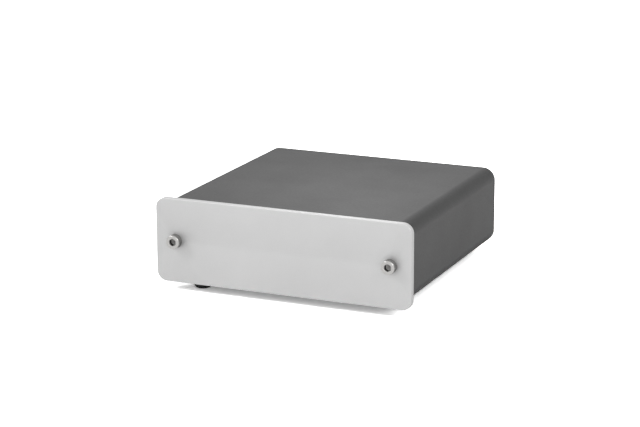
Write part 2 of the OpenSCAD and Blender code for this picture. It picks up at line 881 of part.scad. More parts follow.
// Each pin's place in a header of two rows
module each_pin() {
    last = (header_rows_n - 1) / 2;
    for (sx = [-0.5, 0.5], i = [-last : last]) translate([sx * header_pitch, i * header_pitch, 0]) children();
}

// A square rod round a pin's axis
module pin_rod(w, z0, z1) {
    translate([-w / 2, -w / 2, z0]) cube([w, w, z1 - z0]);
}

module load_headers() {
    l = header_rows_n * header_pitch;
    color("#202020") each_header() difference() {
        translate([-header_pitch, -l / 2, 0]) cube([2 * header_pitch, l, header_base_h]);
        each_pin() pin_rod(header_pin_w + header_slack, -cut_over, header_base_h + cut_over);
    }
}

module load_header_pins() {
    color("#c9a75b") each_header() each_pin() pin_rod(header_pin_w, 0, header_pin_h);
}

module load_jumpers() {
    w = 2 * header_pitch - 2 * header_slack;
    color("#1a3f7a") each_header() difference() {
        translate([-w / 2, -jumper_w / 2, header_base_h]) cube([w, jumper_w, jumper_h]);
        each_pin() pin_rod(header_pin_w + header_slack, header_base_h - cut_over,
            header_base_h + jumper_h + cut_over);
    }
}

front_panel();
front_panel_screws();
front_anchor_blocks();
anchor_block_screws();
case_sleeve();
insulating_sheet();
rear_panel();
socket_block_screws();
rubber_feet();
foot_adhesive_pads();
circuit_board();
input_socket_block();
output_socket_block();
input_socket_shells();
output_socket_shells();
left_socket_insulators();
right_socket_insulators();
socket_centre_contacts();
socket_solder_tabs();
ground_stud();
ground_lock_nut();
ground_solder_tag();
ground_wire();
ground_washer();
ground_thumb_nut();
power_socket_housing();
power_socket_pin();
power_socket_spring();
power_socket_tabs();
switch_frame();
switch_base();
switch_terminals();
mode_switch_lever();
op_amps();
op_amp_legs();
reservoir_capacitors();
coupling_capacitors();
filter_capacitors();
input_capacitors();
ceramic_capacitors();
resistors();
resistor_leads();
rectifier_diodes();
rectifier_leads();
regulator_bodies();
regulator_tabs();
regulator_legs();
input_transistors();
transistor_legs();
power_choke();
load_header_pins();
load_headers();
load_jumpers();
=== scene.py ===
"""The looks of a compact phono preamplifier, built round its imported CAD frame.

Lengths are millimetres in the frame of the CAD model: the front faces -Y, +X is right seen from the front,
+Z is up, and the feet stand on z = 0. Meshes are in metres.
"""
import json
import logging
import math
from collections.abc import Iterable, Sequence
from dataclasses import dataclass, field, replace
from enum import Enum
from typing import Any

import bmesh
import bpy
import numpy as np
from mathutils import Matrix, Vector
from mathutils.geometry import delaunay_2d_cdt


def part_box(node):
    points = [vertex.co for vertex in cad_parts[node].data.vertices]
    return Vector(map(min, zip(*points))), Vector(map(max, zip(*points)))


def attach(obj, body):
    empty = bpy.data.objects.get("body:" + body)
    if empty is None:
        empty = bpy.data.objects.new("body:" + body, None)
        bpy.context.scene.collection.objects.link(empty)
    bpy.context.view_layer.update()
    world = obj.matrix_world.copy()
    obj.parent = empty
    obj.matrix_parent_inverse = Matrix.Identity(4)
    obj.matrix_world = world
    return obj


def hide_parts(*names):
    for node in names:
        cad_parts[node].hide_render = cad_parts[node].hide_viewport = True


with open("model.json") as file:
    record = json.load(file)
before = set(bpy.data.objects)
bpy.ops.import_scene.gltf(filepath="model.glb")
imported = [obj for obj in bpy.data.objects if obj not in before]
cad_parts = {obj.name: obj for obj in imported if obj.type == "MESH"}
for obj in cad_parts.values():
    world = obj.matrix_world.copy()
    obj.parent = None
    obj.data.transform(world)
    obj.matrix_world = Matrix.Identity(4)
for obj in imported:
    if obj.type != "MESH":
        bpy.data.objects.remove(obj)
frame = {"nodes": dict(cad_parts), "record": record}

LOG = logging.getLogger("preamplifier")
UV_NAME = "surface"
# The point attribute that holds each point's painted shade.
PAINTED_SHADE_NAME = "recess"
MM = 0.001
TAU = 2 * math.pi
# The least divisor, the distance at which a cap's points are one, and the turn in radians that is none.
TINY, MERGED, STRAIGHT = 1e-6, 1e-7, 1e-3
# In metres: the gap that closes in a new mesh and in a copied one, and the length of an edge that is none.
SEAM, COPY_SEAM, NO_EDGE = 1e-7, 1e-6, 1e-8
# In degrees: the angle between two faces that is shaded as an edge, that gets a bevel, and that is flat.
SHARP, BEVELLED, FLAT = 38, 40, 0.5
# The radius of an edge that is only broken, and how deep a thread starts in the head that it comes from.
BROKEN, BURIED = 0.1, 0.5
Pair = tuple[float, float]
Triple = tuple[float, float, float]
Values = np.ndarray | float


class Body(Enum):
    """The CAD bodies that the pieces ride on."""

    CASE = "case"
    LEVER = "mode_lever"
    WASHER = "ground_washer"
    NUT = "ground_nut"


class Axis(Enum):
    """The axis that a turned surface goes round."""

    Y = "y"
    Z = "z"


class Texture(Enum):
    """How a finish's fine pattern lies on the surface."""

    GRAIN = "even grain"
    TURNED = "lines round the piece's own axis"
    DRAWN = "lines from front to back"
    WOUND = "turns of wire, one above the other"
    TRACKS = "copper tracks under lacquer"


# Lines in two dimensions


@dataclass(frozen=True)
class Loop:
    """A closed line in X and Z, with normals that point out of the material.

    Attributes:
        points: One row of X and Z for each point.
        normals: The unit normal at each point.
    """

    points: np.ndarray
    normals: np.ndarray

    def as_hole(self) -> "Loop":
        """Returns the same line as the edge of a hole: its material lies outside it."""
        return Loop(self.points, -self.normals)


def even_turn(steps: int) -> np.ndarray:
    """Returns the angles of an even sweep once round."""
    return np.arange(steps) * TAU / steps


def circle(radius: float, centre: Pair = (0, 0), steps: int = 64) -> Loop:
    """Makes a circle: the centre plus the radius times cosine and sine of an even sweep.

    Args:
        radius: The circle's radius.
        centre: Its centre in X and Z.
        steps: The number of points.

    Returns:
        The circle as a loop whose material lies inside it.
    """
    turn = even_turn(steps)
    normals = np.stack([np.cos(turn), np.sin(turn)], 1)
    return Loop(np.array(centre) + radius * normals, normals)


def rounded_rect(width: float, height: float, radius: float, centre: Pair = (0, 0), steps: int = 12,
                 support: float = 0.5) -> Loop:
    """Makes a rectangle with round corners: four quarter circles joined by straight lines.

    Each straight line has a point close to each of its ends, so that smooth shading stays flat along it.

    Args:
        width: Size along the first axis.
        height: Size along the second axis.
        radius: Radius of the corners.
        centre: The middle of the rectangle.
        steps: Segments in each corner.
        support: Distance from a corner's end to the extra point.

    Returns:
        The rectangle as a loop, counterclockwise from the upper right corner.
    """
    corner = np.array([[1, 1], [-1, 1], [-1, -1], [1, -1]]) * (np.array([width, height]) / 2 - radius)
    turn = np.arange(4)[:, None] * TAU / 4 + np.linspace(0, TAU / 4, steps + 1)
    turn = np.concatenate([turn[:, :1], turn, turn[:, -1:]], 1)
    normals = np.stack([np.cos(turn), np.sin(turn)], -1)
    shift = np.zeros(steps + 3)
    shift[0], shift[-1] = -support, support
    along = np.stack([-np.sin(turn), np.cos(turn)], -1) * shift[None, :, None]
    points = corner[:, None] + radius * normals + along + np.array(centre)
    return Loop(points.reshape(-1, 2), normals.reshape(-1, 2))


def rounded_line(corners: Sequence[Pair], radii: Sequence[float], steps: int = 5) -> np.ndarray:
    """Rounds the corners of an open line in two dimensions.

    Each corner is replaced by an arc that touches both of its straight parts: it starts and ends at radius
    times the tangent of half the turn from the corner, round a centre on the corner's bisector.

    Args:
        corners: The line's corner points.
        radii: The radius at each corner; the first and the last are not used, and 0 keeps a corner sharp.
        steps: Segments in each arc.

    Returns:
        The points of the rounded line.
    """
    line = np.array(corners, float)
    made = [line[:1]]
    for before, at, after, radius in zip(line[:-2], line[1:-1], line[2:], radii[1:-1]):
        into = (at - before) / np.linalg.norm(at - before)
        out = (after - at) / np.linalg.norm(after - at)
        turn = math.acos(float(np.clip(into @ out, -1, 1)))
        if radius <= 0 or turn < STRAIGHT:
            made.append(at[None])
            continue
        side = np.array([-into[1], into[0]]) * np.sign(into[0] * out[1] - into[1] * out[0])
        centre = at - into * radius * math.tan(turn / 2) + side * radius
        sweep = np.linspace(0, turn, steps + 1)[:, None]
        made.append(centre - side * radius * np.cos(sweep) + into * radius * np.sin(sweep))
    made.append(line[-1:])
    return np.concatenate(made)


def rounded_section(corners: Sequence[Pair], radii: Sequence[float], steps: int = 4) -> np.ndarray:
    """Rounds the corners of a closed line.

    Args:
        corners: The line's corner points, of which the first lies within a straight part.
        radii: The radius at each corner; the first is not used.
        steps: Segments in each arc.

    Returns:
        The points of the rounded line, without the first one again at its end.
    """
    return rounded_line([*corners, corners[0]], [*radii, 0], steps)[:-1]


def off_middle(turn: np.ndarray, sector: float) -> np.ndarray:
    """Returns each angle's distance from the middle of its sector, of which one lies round the angle 0."""
    return (turn + sector / 2) % sector - sector / 2


def hexagon_reach(turn: np.ndarray, flats: float) -> np.ndarray:
    """Returns a hexagon's radius at each angle: half its flats over the cosine of the angle from a flat."""
    return flats / 2 / np.cos(off_middle(turn, TAU / 6))


def cross_reach(turn: np.ndarray, length: float, width: float) -> np.ndarray:
    """Returns a cross's radius at each angle: the nearer of an arm's end and an arm's side."""
    off = np.abs(off_middle(turn, TAU / 4))
    return np.minimum(length / 2 / np.cos(off), width / 2 / np.maximum(np.sin(off), TINY))


def teeth(turn: np.ndarray, count: int) -> np.ndarray:
    """Returns a wave that is 0 on the crests of straight teeth and 1 in the grooves between them."""
    return np.abs(2 * ((turn * count / TAU) % 1) - 1)


def inside(points: np.ndarray, loops: Sequence[np.ndarray]) -> np.ndarray:
    """Tells which points lie in the material: a ray from them crosses the loops an odd number of times.

    Args:
        points: Rows of two coordinates.
        loops: The outline and the holes, each as rows of points.

    Returns:
        True for each point in the material.
    """
    start = np.concatenate(list(loops))
    end = np.concatenate([np.roll(loop, -1, 0) for loop in loops])
    level = points[:, 1:2]
    spans = (start[:, 1] > level) != (end[:, 1] > level)
    rise = np.where(end[:, 1] == start[:, 1], 1, end[:, 1] - start[:, 1])
    reach = start[:, 0] + (end[:, 0] - start[:, 0]) * (level - start[:, 1]) / rise
    return (spans & (points[:, :1] < reach)).sum(1) % 2 == 1


# Places taken from the frame


def in_mm(place: Sequence[float]) -> np.ndarray:
    """Returns a place of the frame in millimetres, to the nearest thousandth."""
    return np.round(np.array(place) / MM, 3)


@dataclass(frozen=True)
class Room:
    """The room that a CAD node takes.

    Attributes:
        low, high: Its lowest and its highest corner.
    """

    low: np.ndarray
    high: np.ndarray

    @classmethod
    def of(cls, node: str) -> "Room":
        """Returns the room of a CAD node."""
        return cls(*(in_mm(corner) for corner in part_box(node)))

    @property
    def size(self) -> np.ndarray:
        """Its size along X, Y and Z."""
        return np.round(self.high - self.low, 3)

    @property
    def span(self) -> Pair:
        """Its front and its back along Y."""
        return self.low[1], self.high[1]

    @property
    def centre(self) -> Pair:
        """Its middle in X and Z."""
        middle = np.round((self.low + self.high) / 2, 3)
        return middle[0], middle[2]

    def outline(self, corner: float, steps: int = 16) -> Loop:
        """Returns its outline seen from the front, with round corners."""
        wide, _, high = self.size
        return rounded_rect(wide, high, corner, self.centre, steps)


MOUNTS = {mount["name"]: in_mm(mount["pos_m"]) for mount in frame["record"]["mounts"]}


def axis_of(mount: str) -> Pair:
    """Returns the place in X and Z of a mount whose axis runs along Y."""
    return MOUNTS[mount][0], MOUNTS[mount][2]


def sockets_of(pair: str) -> list[Pair]:
    """Returns the axes of a pair's right and left socket in X and Z."""
    return [axis_of(f"{pair}_{side}_shell") for side in ("right", "left")]


REAR = Room.of("rear_panel")
OUTER = REAR.high[1]
INPUTS, OUTPUTS = sockets_of("input"), sockets_of("output")


# Surfaces


@dataclass
class Surface:
    """The points and faces of one piece, gathered from the surfaces that it is made of.

    Attributes:
        points: Blocks of points.
        faces: Every face as a list of point numbers.
        maps: The place on the surface of each face's corners, in metres along and across it.
        painted_shades: How much painted shade each point gets, from 0 to 1.
        smooth: True for each face that is shaded as part of a curve.
        count: The number of points so far.
    """

    points: list[np.ndarray] = field(default_factory=list)
    faces: list[list[int]] = field(default_factory=list)
    maps: list[np.ndarray] = field(default_factory=list)
    painted_shades: list[np.ndarray] = field(default_factory=list)
    smooth: list[bool] = field(default_factory=list)
    count: int = 0

    def add_faces(self, points: np.ndarray, faces: Sequence[Sequence[int]], corners: np.ndarray,
                  smooth: bool, depth: Values = 0) -> None:
        """Adds points and the faces on them.

        Args:
            points: Rows of X, Y and Z.
            faces: Point numbers of each face, counted from the first of these points.
            corners: Two surface coordinates for every corner of every face.
            smooth: Whether the faces are part of a curve.
            depth: The painted shade of all the points, or of each.
        """
        self.points.append(points.reshape(-1, 3))
        self.painted_shades.append(np.broadcast_to(depth, points.shape[:-1]).ravel())
        self.faces += (np.array(faces) + self.count).tolist()
        self.maps.append(np.asarray(corners, float).reshape(-1, 2) * MM)
        self.smooth += [smooth] * len(faces)
        self.count += len(self.points[-1])

    def add_grid(self, points: np.ndarray, wrap_rows: bool = False, wrap_columns: bool = False,
                 smooth: bool = True, depth: Values = 0) -> None:
        """Adds a grid of points as a skin of four-sided faces.

        The surface coordinates are the length along the middle row and the mean length down the rows.

        Args:
            points: Rows by columns by X, Y and Z.
            wrap_rows: Whether the last row joins the first.
            wrap_columns: Whether the last column joins the first.
            smooth: Whether the faces are part of a curve.
            depth: The painted shade of all the points, or of each.
        """
        rows, columns = points.shape[:2]
        row, column = np.meshgrid(np.arange(rows - 1 + wrap_rows), np.arange(columns - 1 + wrap_columns),
                                  indexing="ij")
        down, across = row.ravel()[:, None] + [0, 0, 1, 1], column.ravel()[:, None] + [0, 1, 1, 0]
        ring = np.concatenate([points, points[:1]])
        fall = np.concatenate([[0], np.linalg.norm(np.diff(ring, axis=0), axis=2).mean(1).cumsum()])
        middle = points[rows // 2]
        span = np.linalg.norm(np.diff(np.concatenate([middle, middle[:1]]), axis=0), axis=1)
        along = np.concatenate([[0], span.cumsum()])
        self.add_faces(points, (down % rows) * columns + across % columns,
                       np.stack([along[across], fall[down]], -1), smooth, depth)

    def add_turned(self, rings: Iterable[Sequence[Values]], turn: np.ndarray, centre: Pair, start: float = 0,
                   axis: Axis = Axis.Y, closed: bool = False) -> None:
        """Adds rings round an axis: the centre plus the radius times cosine and sine of the turn.

        Args:
            rings: Each ring's place along the axis, its radius and, where it has one, its painted shade, each
                of them for the whole ring or for every angle.
            turn: The angles.
            centre: The axis's place in the two other directions.
            start: The place along the axis that the rings are counted from.
            axis: The axis that the rings go round.
            closed: Whether the last ring joins the first.
        """
        along, radius, *recess = (np.stack([np.broadcast_to(value, turn.shape) for value in column])
                                  for column in zip(*rings))
        first, second = centre[0] + radius * np.cos(turn), centre[1] + radius * np.sin(turn)
        order = (first, start + along, second) if axis is Axis.Y else (first, second, start + along)
        self.add_grid(np.stack(order, -1), closed, True, depth=recess[0] if recess else 0)

    def add_cap(self, loops: Sequence[np.ndarray], level: float) -> None:
        """Closes a flat face across Y between an outline and its holes, by a constrained triangulation.

        Args:
            loops: The outline and the holes, as rows of X and Z.
            level: The face's place along Y.
        """
        starts = np.cumsum([0] + [len(loop) for loop in loops])
        edges = [np.stack([np.arange(a, b), np.roll(np.arange(a, b), -1)], 1)
                 for a, b in zip(starts, starts[1:])]
        made = delaunay_2d_cdt([Vector(p) for p in np.concatenate(list(loops)).tolist()],
                               np.concatenate(edges).tolist(), [], 1, MERGED)
        corners, triangles = np.array([tuple(v) for v in made[0]]), np.array(made[2])
        kept = triangles[inside(corners[triangles].mean(1), loops)]
        self.add_faces(np.insert(corners, 1, level, axis=1), kept, corners[kept], False)

    def add_plate(self, outline: Loop, holes: Sequence[Loop], near: float, far: float,
                  rounds: Pair, steps: int = 4) -> None:
        """Adds a flat plate across Y whose edges are quarter circles at both faces.

        Along an edge the line is cut back by the radius times 1 minus sine of the turn, while it goes in by
        the radius times 1 minus cosine of the turn.

        Args:
            outline: The plate's outline.
            holes: The outlines of its holes.
            near: Place of its front face along Y.
            far: Place of its back face along Y.
            rounds: Radii of the edges at the front face and at the back face.
            steps: Segments in each edge.
        """
        turn = np.linspace(0, TAU / 4, steps + 1)
        inset = np.concatenate([rounds[0] * (1 - np.sin(turn)), (rounds[1] * (1 - np.sin(turn)))[::-1]])
        level = np.concatenate([near + rounds[0] * (1 - np.cos(turn)),
                                (far - rounds[1] * (1 - np.cos(turn)))[::-1]])
        loops = (outline, *(hole.as_hole() for hole in holes))
        skins = [loop.points - loop.normals * inset[:, None, None] for loop in loops]
        for skin in skins:
            self.add_grid(stood_up(skin, level[:, None]), wrap_columns=True)
        for end, place in ((0, near), (-1, far)):
            self.add_cap([skin[end] for skin in skins], place)

    def piece(self, name: str, finish: "Finish", body: Body, nodes: Sequence[str] = (),
              sharp: float = SHARP) -> None:
        """Makes the Blender object, with its seams and poles closed and its faces pointing outwards.

        Args:
            name: The piece's name.
            finish: Its finish.
            body: The CAD body that it rides on.
            nodes: The CAD nodes that it stands for.
            sharp: The least angle, in degrees, between two faces that is shaded as an edge.
        """
        mesh = bpy.data.meshes.new(name)
        mesh.from_pydata((np.concatenate(self.points) * MM).tolist(), [], self.faces)
        mesh.uv_layers.new(name=UV_NAME).data.foreach_set("uv", np.concatenate(self.maps).ravel())
        # Each point's painted shade, which the material reads.
        painted_shades = mesh.attributes.new(PAINTED_SHADE_NAME, "FLOAT", "POINT")
        painted_shades.data.foreach_set("value", np.concatenate(self.painted_shades))
        mesh.polygons.foreach_set("use_smooth", self.smooth)
        shape = bmesh.new()
        shape.from_mesh(mesh)
        bmesh.ops.remove_doubles(shape, verts=shape.verts, dist=SEAM)
        bmesh.ops.dissolve_degenerate(shape, dist=NO_EDGE, edges=shape.edges)
        bmesh.ops.recalc_face_normals(shape, faces=shape.faces)
        shape.to_mesh(mesh)
        shape.free()
        mesh.set_sharp_from_angle(angle=math.radians(sharp))
        settle(placed(name, mesh), finish, body, nodes)


def stood_up(flat: np.ndarray, level: Values) -> np.ndarray:
    """Returns points of X and Z with their places along Y between the two."""
    return np.stack([flat[..., 0], np.broadcast_to(level, flat.shape[:-1]), flat[..., 1]], -1)


def placed(name: str, data: bpy.types.ID) -> bpy.types.Object:
    """Makes an object of a mesh, a lamp or a camera, and puts it in the scene.

    Args:
        name: The object's name.
        data: What it shows.

    Returns:
        The object.
    """
    made = bpy.data.objects.new(name, data)
    bpy.context.scene.collection.objects.link(made)
    return made


def settle(piece: bpy.types.Object, finish: "Finish", body: Body, nodes: Sequence[str]) -> None:
    """Gives a new piece its material and its body, and hides the CAD nodes that it stands for.

    Args:
        piece: The new object.
        finish: Its finish.
        body: The CAD body that it rides on.
        nodes: The CAD nodes that it stands for.
    """
    piece.data.materials.clear()
    piece.data.materials.append(finish.material())
    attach(piece, body.value)
    if nodes:
        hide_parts(*nodes)
    LOG.info("%s: %d faces on %s", piece.name, len(piece.data.polygons), body.value)


def soften(node: str, name: str, finish: "Finish", width: float) -> None:
    """Makes a piece of the case from a copy of a CAD node, with a live bevel that breaks its edges.

    Args:
        node: The CAD node.
        name: The piece's name.
        finish: Its finish.
        width: The width of the broken edges.
    """
    mesh = frame["nodes"][node].data.copy()
    mesh.name = name
    shape = bmesh.new()
    shape.from_mesh(mesh)
    bmesh.ops.remove_doubles(shape, verts=shape.verts, dist=COPY_SEAM)
    bmesh.ops.dissolve_limit(shape, angle_limit=math.radians(FLAT), verts=shape.verts, edges=shape.edges)
    shape.to_mesh(mesh)
    shape.free()
    made = placed(name, mesh)
    bevel = made.modifiers.new("broken edges", "BEVEL")
    bevel.width, bevel.segments = width * MM, 2
    bevel.limit_method, bevel.angle_limit = "ANGLE", math.radians(BEVELLED)
    bevel.harden_normals = True
    mesh.polygons.foreach_set("use_smooth", np.ones(len(mesh.polygons), bool))
    mesh.set_sharp_from_angle(angle=math.radians(SHARP))
    settle(made, finish, Body.CASE, [node])


# Finishes

# Patches plus the fine pattern run over this range, which is spread over the colours and the roughness.
MIXED = (0.6, 1.4)
# How much is added to the roughness where the painted shade is full.
RECESS_DULL = 0.35
# The scale along the lines of a pattern that runs in lines.
ALONG_LINES = 1 / 40
PATCH_NOISE = {"Detail": 3.0, "Roughness": 0.55}
GRAIN_NOISE = {"Detail": 2.0, "Roughness": 0.6}
# Long bricks stand for the tracks, and their mortar for the gaps.
TRACK_BRICKS = {"Mortar Size": 0.06, "Brick Width": 4.0, "Row Height": 0.5}


def linear(code: str) -> tuple[float, float, float, float]:
    """Turns an sRGB hex colour into the linear colour that the shaders use.

    A value up to 0.04045 is divided by 12.92. To a higher one 0.055 is added, and the sum over 1.055 is taken
    to the power of 2.4.

    Args:
        code: The colour, such as #C0C0C0.

    Returns:
        Red, green, blue and a full alpha.
    """
    srgb = np.array([int(code[i:i + 2], 16) / 255 for i in (1, 3, 5)])
    value = np.where(srgb <= 0.04045, srgb / 12.92, ((srgb + 0.055) / 1.055) ** 2.4)
    return (*value.tolist(), 1.0)


def bare_tree(owner: bpy.types.Material | bpy.types.World) -> bpy.types.NodeTree:
    """Turns on the nodes of a material or a world, and empties them.

    Args:
        owner: The material or the world.

    Returns:
        Its empty tree.
    """
    owner.use_nodes = True
    owner.node_tree.nodes.clear()
    return owner.node_tree


def add_node(tree: bpy.types.NodeTree, kind: str, inputs: dict[str | int, Any] | None = None,
             **settings: Any) -> bpy.types.Node:
    """Adds a shader node.

    Args:
        tree: The tree that gets the node.
        kind: The node's type, without its first words.
        inputs: A constant or another node's output for each input.
        settings: The node's own settings.

    Returns:
        The node.
    """
    node = tree.nodes.new("ShaderNode" + kind)
    for key, value in settings.items():
        setattr(node, key, value)
    for key, value in (inputs or {}).items():
        if isinstance(value, bpy.types.NodeSocket):
            tree.links.new(value, node.inputs[key])
        else:
            node.inputs[key].default_value = value
    return node


@dataclass(frozen=True)
class Finish:
    """A material: what it is made of and how its surface was made.

    Attributes:
        name: Its common name.
        tone: The sRGB colour of its clean surface.
        shade: The sRGB colour of its darker patches.
        roughness: The roughness of its smoothest and of its dullest places.
        grain: Size of its finest pattern.
        relief: Height of that pattern.
        patch: Size of its patches of colour.
        metallic: 1 for a bare metal.
        ior: Index of refraction.
        coat: Strength of a clear coat.
        texture: How the fine pattern lies.
        deep: The sRGB colour of the painted shade in recesses, grooves, knurls and folds; empty for none.
    """

    name: str
    tone: str
    shade: str
    roughness: Pair
    grain: float
    relief: float
    patch: float = 9
    metallic: float = 0
    ior: float = 1.5
    coat: float = 0
    texture: Texture = Texture.GRAIN
    deep: str = ""

    def material(self) -> bpy.types.Material:
        """Returns the material, which is made the first time."""
        return bpy.data.materials.get(self.name) or self.build()

    def build(self) -> bpy.types.Material:
        """Makes the material's nodes: patches and painted shade in colour, a fine pattern in the rest.

        Returns:
            The material.
        """
        made = bpy.data.materials.new(self.name)
        made.diffuse_color = linear(self.tone)
        tree = bare_tree(made)
        place = add_node(tree, "TexCoord").outputs["Object"]
        mm = add_node(tree, "Mapping", {"Vector": place, "Scale": (1 / MM,) * 3}).outputs[0]
        patches = add_node(tree, "TexNoise", {"Vector": mm, "Scale": 1 / self.patch,
                                              **PATCH_NOISE}).outputs[0]
        pattern = self.pattern(tree, place, mm)
        both = add_node(tree, "Math", {0: patches, 1: pattern}, operation="ADD").outputs[0]
        share, dull = (add_node(tree, "MapRange", {"Value": both, "From Min": MIXED[0], "From Max": MIXED[1],
                                                   "To Min": low, "To Max": high}).outputs[0]
                       for low, high in ((0.0, 1.0), self.roughness))
        layers = [(share, self.shade)]
        if self.texture is Texture.TRACKS:
            layers.append((pattern, self.shade))
        # Painted shade: the attribute mixes the colour towards deep, and also dulls the roughness.
        if self.deep:
            recess = add_node(tree, "Attribute", attribute_name=PAINTED_SHADE_NAME).outputs["Fac"]
            layers.append((recess, self.deep))
            dull = add_node(tree, "Math", {0: recess, 1: RECESS_DULL, 2: dull},
                            operation="MULTIPLY_ADD").outputs[0]
        colour = linear(self.tone)
        for amount, code in layers:
            colour = add_node(tree, "Mix", {0: amount, 6: colour, 7: linear(code)},
                              data_type="RGBA").outputs[2]
        relief = add_node(tree, "Bump", {"Height": pattern, "Strength": 1.0,
                                         "Distance": self.relief * MM}).outputs[0]
        shader = add_node(tree, "BsdfPrincipled", {
            "Base Color": colour, "Roughness": dull, "Normal": relief, "Metallic": float(self.metallic),
            "IOR": self.ior, "Coat Weight": float(self.coat)})
        add_node(tree, "OutputMaterial", {"Surface": shader.outputs[0]})
        return made

    def pattern(self, tree: bpy.types.NodeTree, place: bpy.types.NodeSocket,
                mm: bpy.types.NodeSocket) -> bpy.types.NodeSocket:
        """Adds the fine pattern, from 0 to 1, in millimetres of the object or of the surface.

        Args:
            tree: The material's nodes.
            place: Object coordinates in metres.
            mm: Object coordinates in millimetres.

        Returns:
            The pattern's output.
        """
        fine = 1 / self.grain
        if self.texture is Texture.WOUND:
            # At scale 1 a wave repeats after TAU / 20, so here it repeats once a grain, within 2 percent.
            return add_node(tree, "TexWave", {"Vector": mm, "Scale": fine / TAU * 2},
                            bands_direction="Z").outputs["Fac"]
        if self.texture is Texture.TRACKS:
            return add_node(tree, "TexBrick", {"Vector": mm, "Scale": fine, **TRACK_BRICKS}).outputs["Fac"]
        if self.texture is Texture.TURNED:
            place = add_node(tree, "UVMap", uv_map=UV_NAME).outputs[0]
        stretch = {Texture.TURNED: (ALONG_LINES, 1, 1), Texture.DRAWN: (1, ALONG_LINES, 1)}
        scale = tuple(s / MM for s in stretch.get(self.texture, (1, 1, 1)))
        lined = add_node(tree, "Mapping", {"Vector": place, "Scale": scale}).outputs[0]
        return add_node(tree, "TexNoise", {"Vector": lined, "Scale": fine, **GRAIN_NOISE}).outputs[0]


# Aluminium, blasted with fine glass beads and clear anodised: an even satin without streaks. The grit is
# 0.1 mm, which is drawn at 0.25 mm so that it shows.
ANODISED = Finish("aluminium_blasted_anodised", "#CBCBCB", "#C4C4C4", (0.55, 0.61), 0.25, 0.010, 30,
                  metallic=1)
# Mild steel sheet with a satin powder coat: a dark, even skin with a soft orange peel of about 1 mm, with
# painted shade along the folds.
POWDER_COAT = Finish("steel_powder_coated_grey", "#474747", "#414141", (0.54, 0.62), 0.9, 0.010, 25,
                     ior=1.45, deep="#202020")
# The same coat on the rear panel, which is flat.
POWDER_COAT_REAR = replace(POWDER_COAT, name="steel_powder_coated_rear", tone="#424242", shade="#3C3C3C",
                           deep="")
# Steel, turned and nickel plated: bright, with fine lines round the axis; painted shade on knurls and socket.
NICKELLED_STEEL = Finish("steel_nickel_plated", "#C0BFBD", "#B6B5B3", (0.22, 0.34), 0.08, 0.002, 4,
                         metallic=1, texture=Texture.TURNED, deep="#3C3B3A")
# Steel with black zinc: nearly black, satin, with painted shade in the cross recess and the thread.
BLACK_ZINC = Finish("steel_black_zinc", "#2B2B2C", "#222223", (0.30, 0.42), 0.08, 0.002, 3, metallic=1,
                    texture=Texture.TURNED, deep="#0F0F0F")
# Brass, turned and flashed with gold: warm, polished, with faint turning lines; painted shade in grooves.
GOLD_FLASHED = Finish("brass_gold_flashed", "#E3BE6C", "#D8B05C", (0.16, 0.26), 0.10, 0.0015, 5, metallic=1,
                      texture=Texture.TURNED, deep="#7C5A20")
# The same plating on drawn or stamped parts.
GOLD_STAMPED = Finish("bronze_gold_plated", "#DDB866", "#D0A957", (0.18, 0.28), 0.10, 0.002, 3, metallic=1,
                      texture=Texture.DRAWN)
# Tinned steel and brass: pale, a little dull.
TINNED = Finish("brass_tinned", "#CFCFCE", "#BDBDBC", (0.28, 0.42), 0.12, 0.002, 2, metallic=1,
                texture=Texture.DRAWN)
# Extruded and milled aluminium: pale, with the cutter's lines.
MILLED = Finish("aluminium_milled", "#C6C8C9", "#B4B6B8", (0.28, 0.40), 0.15, 0.003, 4, metallic=1,
                texture=Texture.DRAWN)
# Moulded rubber: black, matt, with a fine skin.
RUBBER = Finish("rubber_moulded_black", "#1E1E1E", "#181818", (0.62, 0.78), 0.20, 0.010, 3, ior=1.52)
# Acrylic foam tape: off-white, open grained.
FOAM_TAPE = Finish("foam_tape_white", "#D9D5CB", "#CCC8BD", (0.75, 0.90), 0.30, 0.040, 2)
# Polyester film: smoky and smooth.
POLYESTER_FILM = Finish("polyester_film_grey", "#3C3C3A", "#363634", (0.22, 0.32), 0.60, 0.002, 12, ior=1.6)
# Glass fibre laminate under green solder resist: glossy over copper tracks a millimetre apart.
SOLDER_RESIST = Finish("laminate_green_resist", "#22633A", "#2D7A49", (0.18, 0.30), 2.0, 0.020, 14, ior=1.55,
                       coat=0.3, texture=Texture.TRACKS)
# PBT, moulded against an eroded tool: black with a fine even grain.
BLACK_PBT = Finish("pbt_moulded_black", "#1B1B1C", "#161617", (0.38, 0.52), 0.18, 0.006, 4)
# ABS, moulded against a polished tool: white.
WHITE_ABS = Finish("abs_moulded_white", "#E9E7E1", "#E0DED7", (0.20, 0.30), 0.40, 0.002, 6, ior=1.53)
# ABS, moulded against a polished tool: red.
RED_ABS = replace(WHITE_ABS, name="abs_moulded_red", tone="#B3201B", shade="#A51B17")
# Nylon, moulded with grip ridges: black, satin.
BLACK_NYLON = Finish("nylon_moulded_black", "#171717", "#131313", (0.35, 0.48), 0.20, 0.004, 2, ior=1.53)
# Phenolic paper laminate: brown, slightly striped.
PHENOLIC = Finish("phenolic_laminate_brown", "#5A3A22", "#4B2F1B", (0.45, 0.60), 0.30, 0.006, 1.5,
                  texture=Texture.DRAWN)
# Epoxy moulding compound: dark grey, matt and finely pitted.
EPOXY = Finish("epoxy_moulded_black", "#262627", "#1F1F20", (0.55, 0.68), 0.12, 0.008, 2, ior=1.55)
# Shrunk PVC sleeve over an aluminium can: dark blue, glossy.
SLEEVE_BLUE = Finish("pvc_sleeve_blue", "#24365C", "#1E2E50", (0.22, 0.32), 0.80, 0.006, 5, ior=1.54)
# Shrunk PVC sleeve over an aluminium can: black brown, glossy.
SLEEVE_BLACK = replace(SLEEVE_BLUE, name="pvc_sleeve_black", tone="#2C2924", shade="#24211D")
# Potted polyester box: red, semi-gloss.
BOX_RED = Finish("polyester_box_red", "#B5362B", "#A62F25", (0.28, 0.38), 0.50, 0.006, 3, ior=1.55)
